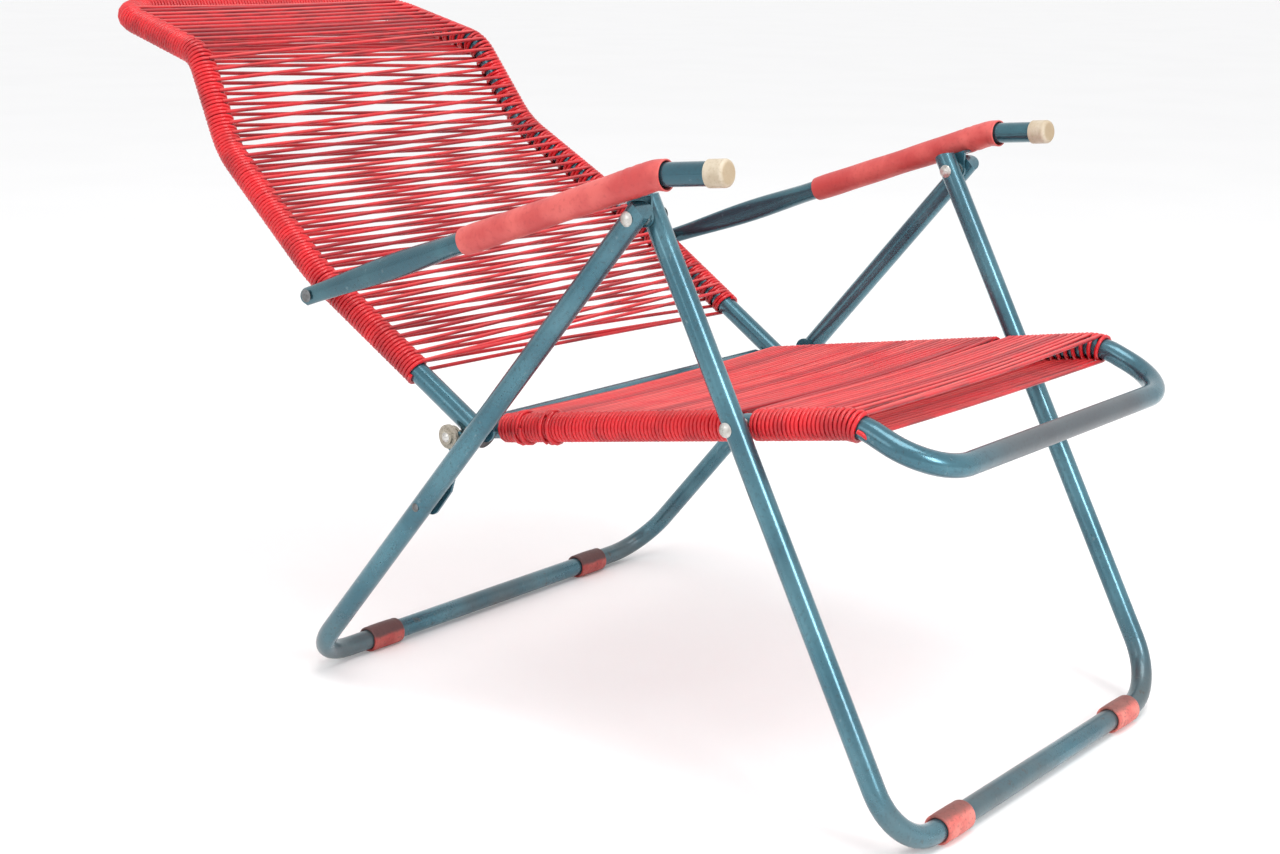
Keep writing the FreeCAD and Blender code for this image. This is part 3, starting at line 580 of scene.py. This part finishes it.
# %% [markdown]
# ## Steel, enamel and plain plastics
#
# The rivets and pins are bare steel that has gone a little dull, and those of the arms
# have darkened with handling. The mouldings are plastic: grey bushes and black plugs.

# %% Small metal and plastic finishes
def plain_finish(name, fresh, faded, grimy, roughness, metallic, patch, grain, grime, bump):
    """A mottled finish of one stuff all over."""
    material, tree, shader, spot = new_finish(name)
    look = effect(tree, MOTTLE, Spot=spot.outputs["Object"], Fresh=fresh, Faded=faded, Grimy=grimy,
                  Patch_Scale=patch, Grain_Scale=grain, Grime=grime)
    feed(tree, shader, Base_Color=look.outputs["Colour"],
         Roughness=sum_up(tree, "MULTIPLY_ADD", look.outputs["Grain"], 0.22, roughness))
    shader.inputs["Metallic"].default_value = metallic
    bump_from(tree, shader, look.outputs["Grain"], bump, 0.0005)
    return material


rivet_steel = plain_finish(
    "Rivet steel", (0.60, 0.59, 0.57, 1), (0.45, 0.43, 0.40, 1), (0.12, 0.09, 0.07, 1),
    roughness=0.24, metallic=0.92, patch=90.0, grain=700.0, grime=0.5, bump=0.25)
dark_steel = plain_finish(
    "Darkened steel", (0.20, 0.21, 0.22, 1), (0.13, 0.13, 0.13, 1), (0.05, 0.045, 0.04, 1),
    roughness=0.32, metallic=0.85, patch=90.0, grain=600.0, grime=0.5, bump=0.25)
bush_plastic = plain_finish(
    "Bush plastic", (0.33, 0.29, 0.235, 1), (0.42, 0.38, 0.31, 1), (0.10, 0.08, 0.06, 1),
    roughness=0.42, metallic=0.0, patch=80.0, grain=500.0, grime=0.8, bump=0.4)
plug_plastic = plain_finish(
    "Plug plastic", (0.012, 0.012, 0.014, 1), (0.030, 0.030, 0.032, 1), (0.10, 0.09, 0.08, 1),
    roughness=0.40, metallic=0.0, patch=70.0, grain=480.0, grime=0.4, bump=0.3)
print("small finishes:", rivet_steel.name, dark_steel.name, bush_plastic.name, plug_plastic.name)

# %% [markdown]
# ## Red cord
#
# The cord is solid PVC, smooth and a little waxy. Where it lies open to the sky it has
# bleached towards salmon, and the sides that face down have kept their red. The fading is
# read from the way the surface faces on the piece itself, so it stays put when the chair
# folds. The tone that each strand carries keeps some of them darker than their neighbours.

# %% Cord finishes
def cord_finish(name, deep, fresh, bleached, bleach, roughness):
    """Waxy PVC between a deep and a fresh red, bleached on its upper side."""
    material, tree, shader, spot = new_finish(name)
    look = effect(tree, MOTTLE, Spot=spot.outputs["Object"], Fresh=fresh, Faded=deep,
                  Grimy=(0.20, 0.012, 0.016, 1), Patch_Scale=26.0, Grain_Scale=260.0, Grime=0.30)
    tone = add(tree, "ShaderNodeAttribute", attribute_name="tone").outputs["Fac"]
    dark_share = sum_up(tree, "MULTIPLY", between(tree, tone, 0.55, 1.0), 0.7)
    toned = colour_mix(tree, dark_share, look.outputs["Colour"], deep)
    up = add(tree, "ShaderNodeSeparateXYZ", {"Vector": spot.outputs["Normal"]}).outputs["Z"]
    sky = sum_up(tree, "MULTIPLY", between(tree, up, -0.1, 1.0), bleach)
    sky = sum_up(tree, "MULTIPLY", sky, between(tree, look.outputs["Patches"], 0.20, 0.62))
    sky = sum_up(tree, "MULTIPLY", sky, sum_up(tree, "SUBTRACT", 1.15, tone))
    feed(tree, shader, Base_Color=colour_mix(tree, sky, toned, bleached),
         Roughness=sum_up(tree, "MULTIPLY_ADD", look.outputs["Grain"], 0.20, roughness))
    shader.inputs["Specular IOR Level"].default_value = 0.38
    shader.inputs["Coat Weight"].default_value = 0.20
    shader.inputs["Coat Roughness"].default_value = 0.18
    bump_from(tree, shader, look.outputs["Grain"], 0.10, 0.0003)
    return material


wound_cord = cord_finish(
    "Wound cord", (0.38, 0.006, 0.012, 1), (0.62, 0.010, 0.017, 1), (0.74, 0.045, 0.042, 1),
    bleach=0.50, roughness=0.24)
strung_cord = cord_finish(
    "Strung cord", (0.25, 0.005, 0.012, 1), (0.54, 0.013, 0.021, 1), (0.76, 0.085, 0.078, 1),
    bleach=0.80, roughness=0.30)
print("cord finishes:", wound_cord.name, strung_cord.name)

# %% [markdown]
# ## Sleeves, clips and caps
#
# The arm sleeves are soft PVC hose that sun and hands have turned salmon. The foot
# clips are cut from harder hose, grimy in their fine pits and darker on their upper side.
# The caps were white once.

# %% Moulded plastic finishes
arm_pvc = plain_finish(
    "Arm sleeve", (0.47, 0.047, 0.045, 1), (0.60, 0.102, 0.090, 1), (0.34, 0.035, 0.038, 1),
    roughness=0.36, metallic=0.0, patch=22.0, grain=240.0, grime=0.35, bump=0.35)


def clip_finish(name, fresh, faded, grime_and_upper_dark, low, high, amount):
    """Hose plastic, grimy in its fine pits and darker above a height on its upper side."""
    material, tree, shader, spot = new_finish(name)
    here = spot.outputs["Object"]
    look = effect(tree, MOTTLE, Spot=here, Fresh=fresh, Faded=faded, Grimy=grime_and_upper_dark,
                  Patch_Scale=60.0, Grain_Scale=340.0, Grime=0.6)
    height = add(tree, "ShaderNodeSeparateXYZ", {"Vector": here}).outputs["Z"]
    ragged = sum_up(tree, "MULTIPLY_ADD", look.outputs["Patches"], 0.006, height)
    # Above a height the clip is blended towards the dark colour, so its upper side is darker.
    upper_darkening = sum_up(tree, "MULTIPLY", between(tree, ragged, low, high), amount)
    feed(tree, shader, Base_Color=colour_mix(tree, upper_darkening, look.outputs["Colour"], grime_and_upper_dark),
         Roughness=sum_up(tree, "MULTIPLY_ADD", look.outputs["Grain"], 0.22, 0.46))
    bump_from(tree, shader, look.outputs["Grain"], 0.45, 0.0005)
    return material


def cap_finish(name, face_middle):
    """Yellowed plastic, tan on the face where a palm rests; the same on the left and the right."""
    material, tree, shader, spot = new_finish(name)
    here = spot.outputs["Object"]
    look = effect(tree, MOTTLE, Spot=here, Fresh=(0.50, 0.43, 0.33, 1), Faded=(0.42, 0.34, 0.24, 1),
                  Grimy=(0.30, 0.23, 0.15, 1), Patch_Scale=60.0, Grain_Scale=420.0, Grime=0.5)
    apart = add(tree, "ShaderNodeSeparateXYZ", {"Vector": here})
    folded = add(tree, "ShaderNodeCombineXYZ", {
        "X": sum_up(tree, "ABSOLUTE", apart.outputs["X"]),
        "Y": apart.outputs["Y"], "Z": apart.outputs["Z"]})
    gap = add(tree, "ShaderNodeVectorMath", {0: folded.outputs[0], 1: tuple(face_middle)},
              operation="DISTANCE")
    tan = sum_up(tree, "SUBTRACT", 1.0, between(tree, gap.outputs["Value"], 0.0085, 0.0122))
    share = sum_up(tree, "MULTIPLY", tan, 0.75)
    tanned = colour_mix(tree, share, look.outputs["Colour"], (0.33, 0.24, 0.14, 1))
    feed(tree, shader, Base_Color=tanned,
         Roughness=sum_up(tree, "MULTIPLY_ADD", look.outputs["Grain"], 0.2, 0.42))
    bump_from(tree, shader, look.outputs["Grain"], 0.35, 0.0004)
    return material


# The third colour is the grime in the fine pits and also the darker upper side of each clip.
front_clip_pvc = clip_finish(
    "Front clip", (0.56, 0.125, 0.105, 1), (0.66, 0.20, 0.165, 1), (0.115, 0.060, 0.052, 1),
    low=0.0255, high=0.0300, amount=0.75)
rear_clip_pvc = clip_finish(
    "Rear clip", (0.33, 0.045, 0.040, 1), (0.40, 0.080, 0.066, 1), (0.060, 0.032, 0.032, 1),
    low=0.0190, high=0.0235, amount=0.9)
cap_pvc = cap_finish("Cap", place(289, 186, 602))
print("mouldings:", arm_pvc.name, front_clip_pvc.name, rear_clip_pvc.name, cap_pvc.name)

# %% [markdown]
# ## Finishes on the frame
#
# The pieces of the frame keep their measured shapes and only take their finishes here.
# One table is easier to look over than a line for each piece.

# %% Give the frame its finishes
def finish_node(node, material):
    """Gives a piece of the frame its finish and leaves its shape alone."""
    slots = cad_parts[node].material_slots
    if not slots:
        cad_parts[node].data.materials.append(material)
    for slot in slots:
        slot.material = material


FINISHES = {
    frame_lacquer: ["front_leg_frame", "rear_leg_frame", "back_frame", "arm_bracket_left",
                    "arm_bracket_right", "latch_plate_left", "latch_plate_right"],
    seat_lacquer: ["seat_frame", "seat_cross_tube"],
    arm_lacquer: ["arm_tube_left", "arm_tube_right"],
    rivet_steel: ["apex_rivets", "apex_washers", "back_pivot_pins", "seat_rivets", "seat_spacers",
                  "latch_rod"],
    dark_steel: ["latch_plate_rivets", "arm_pins", "arm_spacers"],
    bush_plastic: ["latch_bush_left", "latch_bush_right"],
    plug_plastic: ["back_end_plugs"],
    cap_pvc: ["arm_cap_left", "arm_cap_right"],
}
for material, nodes in FINISHES.items():
    for node in nodes:
        finish_node(node, material)
print("finished", sum(len(nodes) for nodes in FINISHES.values()), "pieces of the frame")

# %% [markdown]
# ## Wind and string the chair
#
# On the back the cord makes two and a half turns round the rail between one strand and
# the next, so the strands stand 13.5 mm apart. On the seat it makes one and a half, and
# they stand 9.2 mm apart. Windings and strands count the same turns along a rail, so
# every strand grows out of a ring.

# %% Sizes of the stringing
CORD = 4.3 * MM
COIL_RADIUS = 13.15 * MM
BACK_TURN, BACK_SKIP = 4.5 * MM, 3    # room for one ring, and rings from strand to strand
SEAT_TURN, SEAT_SKIP = 4.6 * MM, 2
POINTS_PER_TURN = 14
STRAND_POINTS = 13
WAVER = 1.6 * MM                      # how far a strand may stray in its middle
CROSSING = 0.5                        # part of a turn left open where the cord goes across and back
MEETING = 0.75                        # turns from the end of a rail to its first strand


def join_pieces(name, pieces):
    """Makes one mesh object of several that have the same finish."""
    together = bmesh.new()
    for piece in pieces:
        together.from_mesh(piece.data)
    mesh = bpy.data.meshes.new(name)
    together.to_mesh(mesh)
    together.free()
    mesh.materials.append(pieces[0].data.materials[0])
    for piece in pieces:
        bpy.data.objects.remove(piece)
    joined = bpy.data.objects.new(name, mesh)
    bpy.context.scene.collection.objects.link(joined)
    return joined


def coil(name, rail, first, turns, side, turn_pitch, skip, coils=1, phase=0.0,
         radius=COIL_RADIUS, flat=None, seed=3):
    """Lays one or more coils on a rail line, starting at a number of turns along it."""
    left = side > 0
    values = {
        "Rail": rail, "Coils": coils, "Points": int(turns * POINTS_PER_TURN) + 2,
        "Turn Pitch": turn_pitch, "First Turn": first, "Turns": turns, "Turns Between": float(skip),
        "Phase": phase, "Start Angle": 0.0 if left else math.pi / 2, "Sense": 1.0 if left else -1.0,
        "Side": float(side), "Coil Radius": radius, "Cord Diameter": CORD, "Unevenness": 0.9 * MM,
        "Seed": seed, "Material": wound_cord,
    }
    if flat:
        values["Flat Rail"] = True
        values["Flat Front"] = flat
    return grow(name, WINDING, values)


def keep_winding(piece, body, node=None):
    """Ties a winding to its body, in place of the plain sleeve of the frame."""
    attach(piece, body)
    if node:
        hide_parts(node)
    print(piece.name, "has", len(piece.data.polygons), "faces")


def wind_side(name, rail, side, turn_pitch, skip, start, end, body, node):
    """Winds a side rail, 1 on the left and -1 on the right, between two distances along it."""
    phase = 0.0 if side > 0 else skip - MEETING
    base = MEETING if side > 0 else 0.0
    low, high = start / turn_pitch + phase, end / turn_pitch + phase
    first = base + skip * math.ceil((low - base) / skip)
    coils = int((high - first) / skip)
    last = first + coils * skip
    parts = [coil(name, rail, first, skip - CROSSING, side, turn_pitch, skip, coils, phase)]
    lead = ("_lead", max(low, first - skip), first - CROSSING)
    tail = ("_tail", last, min(high, last + skip - CROSSING))
    for part, begin, stop in (lead, tail):
        if stop - begin > 0.2:
            parts.append(coil(name + part, rail, begin, stop - begin, side, turn_pitch, skip, phase=phase))
    keep_winding(join_pieces(name, parts), body, node)


def string_rails(name, left, right, places, turn_pitch, skip, rear, body, node, sag, gap=(0.0, 0.0)):
    """Stretches one layer of strands over a number of places; the two layers lean opposite ways."""
    early, late = MEETING, MEETING + skip - CROSSING
    left_turn, right_turn = (early, late) if rear else (late, early)
    strands = places + 1
    piece = grow(name, STRANDS, {
        "Left Rail": left, "Right Rail": right, "Strands": strands, "Points": STRAND_POINTS,
        "Left Start": left_turn * turn_pitch, "Right Start": right_turn * turn_pitch,
        "Left Lag": 1 if rear else 0, "Right Lag": 0 if rear else 1, "Strand Pitch": skip * turn_pitch,
        "Layer Offset": -COIL_RADIUS if rear else COIL_RADIUS, "Cord Diameter": CORD, "Sag": sag,
        "Unevenness": WAVER, "Gap Start": gap[0], "Gap End": gap[1], "Seed": 11 if rear else 5,
        "Material": strung_cord,
    })
    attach(piece, body)
    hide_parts(node)
    print(name, "has", strands, "strands,", len(piece.data.polygons), "faces")


def places_for(reach, turn_pitch, skip):
    """How many places for a strand there are within a reach along a rail."""
    late = MEETING + skip - CROSSING
    return int((reach / turn_pitch - late) / skip) + 1


# %% String the back
TOP_REACH = 27 * MM                   # strands go on past the winding, into the corner
far_corner = other_side([BACK_CORNERS[4]])[0]
string_line = bent_line(back_corners + [BACK_CORNERS[4], far_corner], BACK_BENDS + [HEAD_BEND])
back_length = length_of(BACK_LEFT)
string_left = line_object("string_line_left", string_line)
string_right = line_object("string_line_right", other_side(string_line))
for line, side, title in ((string_left, 1, "left"), (string_right, -1, "right")):
    wind_side("back_winding_" + title, line, side, BACK_TURN, BACK_SKIP, 0.0, back_length,
              "back", "back_wrap_" + title)
back_places = places_for(back_length + TOP_REACH, BACK_TURN, BACK_SKIP)
for title, rear, sag in (("front", False, 1.5 * MM), ("rear", True, -1.0 * MM)):
    string_rails("back_strands_" + title, string_left, string_right, back_places, BACK_TURN, BACK_SKIP,
                 rear, "back", "back_web_" + title, sag)

# %% Wind the headrest rail without a gap
head_line = line_object("head_line", HEAD_LINE)
head_way = (BACK_CORNERS[4] - BACK_CORNERS[3]).normalized()
head_front = Vector((1, 0, 0)).cross(head_way).normalized()
head_turns = length_of(HEAD_LINE) / BACK_TURN
head = coil("head_winding", head_line, 0.0, head_turns, 1, BACK_TURN, 1, flat=tuple(head_front), seed=9)
keep_winding(head, "back", "back_wrap_top")

# %% [markdown]
# The leg rivets pass through the seat rails, so the winding stops short of them on both
# sides. The strands do not: those that belong there start beside the gap and spread out
# into it again, which the strand tree does with its two gap inputs.

# %% String the seat
RIVET_GAP = (187.8, 204.2)            # bare part of the seat rail, back from the front floor rail
seat_left = line_object("seat_line_left", SEAT_LEFT)
seat_right = line_object("seat_line_right", other_side(SEAT_LEFT))
gap = [seat_station(y) for y in RIVET_GAP]
seat_length = length_of(SEAT_LEFT)
for line, side, title in ((seat_left, 1, "left"), (seat_right, -1, "right")):
    for part, start, end in (("front_", 0.0, gap[0]), ("rear_", gap[1], seat_length)):
        wind_side("seat_winding_" + part + title, line, side, SEAT_TURN, SEAT_SKIP, start, end,
                  "seat", "seat_wrap_" + part + title)
seat_places = places_for(seat_length, SEAT_TURN, SEAT_SKIP)
strand_gap = (gap[0] - 0.5 * SEAT_TURN, gap[1] + 0.5 * SEAT_TURN)
for title, rear, sag in (("top", False, 4.0 * MM), ("under", True, 2.0 * MM)):
    string_rails("seat_strands_" + title, seat_left, seat_right, seat_places, SEAT_TURN, SEAT_SKIP,
                 rear, "seat", "seat_web_" + title, sag, strand_gap)

# %% [markdown]
# Near the back of the right seat rail the cord was once wound over itself when it was
# knotted off. A few fatter turns lie there on top of the others.

# %% The turns wound over the others
OVER_RADIUS = COIL_RADIUS + 3.1 * MM
over = []
for k, y in enumerate((431, 437, 468, 474)):
    first = seat_station(y) / SEAT_TURN
    over.append(coil("over_%d" % k, seat_right, first, 1.05, -1, SEAT_TURN, 1,
                     radius=OVER_RADIUS, seed=20 + k))
keep_winding(join_pieces("seat_over_turns", over), "seat")
for line in (string_left, string_right, head_line, seat_left, seat_right):
    bpy.data.objects.remove(line)

# %% [markdown]
# ## Hoses on the arms and floor rails
#
# The sleeves on the arms and the clips under the floor rails are all cut from plastic
# hose. A hose is one closed profile, with the wall, two rounded lips and the bore, drawn
# along a line. A plain cylinder would lack the lips, the loose mouth in front, where the
# sleeve runs over the bend of the arm, and the slack waves that a hand leaves in it.

# %% Helper that draws a hose along a line
def trimmed(points, length):
    """The first part of a line, up to a length in metres."""
    kept, gone = [points[0]], 0.0
    for before, after in zip(points, points[1:]):
        run = (after - before).length
        if gone + run >= length:
            kept.append(before.lerp(after, (length - gone) / run))
            return kept
        kept.append(after)
        gone += run
    return kept


def evenly(points, count):
    """Points at even steps along a line, with the direction there."""
    total = length_of(points)
    result = []
    for k in range(count + 1):
        part = trimmed(points, max(1e-6, min(total * k / count, total - 1e-7)))
        result.append((part[-1], (part[-1] - part[-2]).normalized()))
    return result


def hose(name, points, stations, inner, wall, flare, body, node, material, around=44, sole=None):
    """Draws a hose of an inner radius and a wall in mm; flare gives mm for a share and an angle.

    Each row of the profile is a share of the length and a height in the wall, from bore to
    outside. A sole is the height that the hose is pressed flat on.
    """
    lip = [(0.0, 0.0), (0.12, 0.5), (0.45, 0.87), (1.0, 1.0)]
    places = evenly(points, stations)
    total = length_of(points)
    lip_run = wall * 0.55 * MM / total
    outside = [(k / stations, 1.0) for k in range(1, stations)]
    inside = [(k / stations, 0.0) for k in range(stations - 1, 0, -4)]
    rows = [(reach * lip_run, 0.5 + height / 2) for reach, height in lip] + outside
    rows += [(1.0 - reach * lip_run, 0.5 + height / 2) for reach, height in reversed(lip)]
    rows += [(1.0 - reach * lip_run, 0.5 - height / 2) for reach, height in lip[1:]] + inside
    rows += [(reach * lip_run, 0.5 - height / 2) for reach, height in reversed(lip[1:])]
    shell = bmesh.new()
    rings = []
    for share, height in rows:
        number = min(int(share * stations), stations - 1)
        part = share * stations - number
        spot = places[number][0].lerp(places[number + 1][0], part)
        ahead = places[number][1].lerp(places[number + 1][1], part).normalized()
        level = ahead.cross(Vector((0, 0, 1))).normalized()
        above = level.cross(ahead)
        ring = []
        for k in range(around):
            angle = 2 * math.pi * k / around
            radius = (inner + wall * height + flare(share, angle)) * MM
            point = spot + (level * math.cos(angle) + above * math.sin(angle)) * radius
            if sole is not None:
                point.z = max(point.z, sole)
            ring.append(shell.verts.new(point))
        rings.append(ring)
    for ring, following in zip(rings, rings[1:] + rings[:1]):
        for k in range(around):
            nearby = (k + 1) % around
            shell.faces.new((ring[k], ring[nearby], following[nearby], following[k]))
    bmesh.ops.recalc_face_normals(shell, faces=shell.faces)
    mesh = bpy.data.meshes.new(name)
    shell.to_mesh(mesh)
    shell.free()
    mesh.materials.append(material)
    mesh.polygons.foreach_set("use_smooth", [True] * len(mesh.polygons))
    piece = bpy.data.objects.new(name, mesh)
    bpy.context.scene.collection.objects.link(piece)
    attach(piece, body)
    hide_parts(node)
    print(name, "is", round(total * 1000), "mm long with", len(mesh.polygons), "faces")


# %% Sleeves on the arms
ARM_CORNERS = [place(304, 713, 431.5), place(295, 262, 594.5), place(289, 196, 601)]
ARM_BEND = 40
SLEEVE_BACK = 234.0                   # from the rear pin to the sleeve, along the arm
PAST_BEND = 11.0                      # about how far it runs past the corner of the bend
sleeve_start = step_toward(ARM_CORNERS[0], ARM_CORNERS[1], SLEEVE_BACK)
sleeve_line = bent_line([sleeve_start] + ARM_CORNERS[1:], [ARM_BEND])
sleeve_line = trimmed(sleeve_line, (ARM_CORNERS[1] - sleeve_start).length + PAST_BEND * MM)


def slack(share, angle):
    """How far the arm hose stands off: waves, a loose front mouth and a snug rear end."""
    waves = 0.28 * math.sin(9.0 * share + 0.6) + 0.16 * math.sin(23.0 * share + 2.0 * math.cos(angle))
    mouth = 1.6 * max(0.0, (share - 0.93) / 0.07) ** 2 * (0.6 - 0.4 * math.sin(angle))
    folds = 0.30 * math.exp(-((share - 0.86) / 0.05) ** 2) * math.sin(150.0 * share)
    snug = -0.25 * math.exp(-(share / 0.03) ** 2)
    return 0.35 + waves + mouth + folds + snug


for side, title in ((1, "left"), (-1, "right")):
    line = sleeve_line if side > 0 else other_side(sleeve_line)
    hose("arm_hose_" + title, line, 90, 11.5, 1.9, slack, "arm_" + title, "arm_sleeve_" + title,
         arm_pvc)


# %% Clips under the floor rails
def clip_shape(share, angle):
    """A clip bulges a little in the middle and has a shallow groove near each end."""
    groove = math.exp(-((share - 0.12) / 0.03) ** 2) + math.exp(-((share - 0.88) / 0.03) ** 2)
    return 0.22 * math.sin(math.pi * share) - 0.18 * groove + 0.10 * math.sin(3 * angle + 5 * share)


HALF_CLIP = 23
RAIL_HEIGHT = 14
CLIPS = (("front", 172, 0, "front_legs", front_clip_pvc), ("rear", 180, 749, "rear_legs", rear_clip_pvc))
for end, x, y, body, material in CLIPS:
    for side, title in ((1, "left"), (-1, "right")):
        line = [place(side * x - HALF_CLIP, y, RAIL_HEIGHT), place(side * x + HALF_CLIP, y, RAIL_HEIGHT)]
        hose(end + "_clip_hose_" + title, line, 26, 11.15, 3.15, clip_shape, body,
             end + "_foot_clip_" + title, material, sole=0.0)

# %% [markdown]
# ## Floor, light and camera
#
# A studio picture needs little: a pale floor without an edge, a wide soft light overhead,
# a window in front, a weak light from the side, and a pale room all round so that the
# lacquer has something to mirror. Small lamps would give hard shadows of every strand.

# %% Floor
def floor_finish():
    """Matt near-white with the faintest clouds."""
    material, tree, shader, spot = new_finish("Studio floor")
    look = effect(tree, MOTTLE, Spot=spot.outputs["Object"], Fresh=(0.92, 0.92, 0.92, 1),
                  Faded=(0.91, 0.91, 0.91, 1), Grimy=(0.88, 0.88, 0.88, 1),
                  Patch_Scale=1.5, Grain_Scale=60.0, Grime=0.1)
    feed(tree, shader, Base_Color=look.outputs["Colour"],
         Roughness=sum_up(tree, "MULTIPLY_ADD", look.outputs["Grain"], 0.1, 0.75))
    return material


HALF_FLOOR = 60.0                     # metres, so that its edge is lost in the distance
floor_mesh = bpy.data.meshes.new("floor")
corners = [(x * HALF_FLOOR, y * HALF_FLOOR, 0) for x, y in ((-1, -1), (1, -1), (1, 1), (-1, 1))]
floor_mesh.from_pydata(corners, [], [(0, 1, 2, 3)])
floor_mesh.materials.append(floor_finish())
floor = bpy.data.objects.new("floor", floor_mesh)
bpy.context.scene.collection.objects.link(floor)
floor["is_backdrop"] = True
print("floor is", 2 * HALF_FLOOR, "m wide")

# %% Lights and the pale room
def soft_light(name, where, aim, width, height, power, tint):
    """A soft oblong light at a place, aimed at another, with its power in watts."""
    lamp = bpy.data.lights.new(name, "AREA")
    lamp.shape = "RECTANGLE"
    lamp.size, lamp.size_y = width, height
    lamp.energy = power
    lamp.color = tint
    light = bpy.data.objects.new(name, lamp)
    light.location = where
    light.rotation_euler = (Vector(aim) - Vector(where)).to_track_quat("-Z", "Y").to_euler()
    bpy.context.scene.collection.objects.link(light)


soft_light("overhead", (-0.5, -1.0, 2.9), (0, 0, 0.4), 1.6, 1.6, 40, (1.0, 0.99, 0.97))
soft_light("front window", (-1.0, -3.4, 2.0), (0, 0, 0.45), 1.0, 1.4, 52, (0.985, 0.99, 1.0))
soft_light("side fill", (-3.2, 0.2, 1.4), (0, 0, 0.4), 1.2, 1.2, 10, (1.0, 0.985, 0.97))
room = bpy.data.worlds.new("Pale room")
room.use_nodes = True
walls = room.node_tree
way = add(walls, "ShaderNodeTexCoord").outputs["Generated"]
sideways = add(walls, "ShaderNodeSeparateXYZ", {"Vector": way}).outputs["Y"]
glow = between(walls, sideways, 0.9, -0.6)
shade = colour_mix(walls, glow, (1.0, 1.0, 1.0, 1), (0.96, 0.96, 0.97, 1))
walls.links.new(shade, walls.nodes["Background"].inputs["Color"])
walls.nodes["Background"].inputs["Strength"].default_value = 1.04
bpy.context.scene.world = room
bpy.context.scene.view_settings.view_transform = "Standard"
print("lit by", len(bpy.data.lights), "soft lights and the room")

# %% Camera
camera_data = bpy.data.cameras.new("camera")
camera_data.sensor_width = 36.0
camera_data.lens = 53.92
camera_data.shift_x = -0.0049
camera_data.shift_y = 0.0125
camera_data.clip_start = 0.01
camera = bpy.data.objects.new("camera", camera_data)
bpy.context.scene.collection.objects.link(camera)
STANDPOINT = (-1.6101, -1.3726, 0.7896)
YAW, PITCH, ROLL = 0.889, -0.254, 0.018
ahead = Vector((math.cos(PITCH) * math.sin(YAW), math.cos(PITCH) * math.cos(YAW), math.sin(PITCH)))
level = ahead.cross(Vector((0, 0, 1))).normalized()
above = level.cross(ahead)
right = level * math.cos(ROLL) + above * math.sin(ROLL)
up = above * math.cos(ROLL) - level * math.sin(ROLL)
turn = Matrix((right, up, -ahead)).transposed().to_4x4()
camera.matrix_world = Matrix.Translation(STANDPOINT) @ turn
bpy.context.scene.camera = camera
print("camera stands", round(camera.location.length, 3), "m from the middle of the floor")

# %% Print the sizes of the frame and of the whole scene
visual_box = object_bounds()
for title, corners in (("frame", cad_box), ("visual", visual_box)):
    print(title, "box:", [[round(value, 4) for value in corner] for corner in corners])
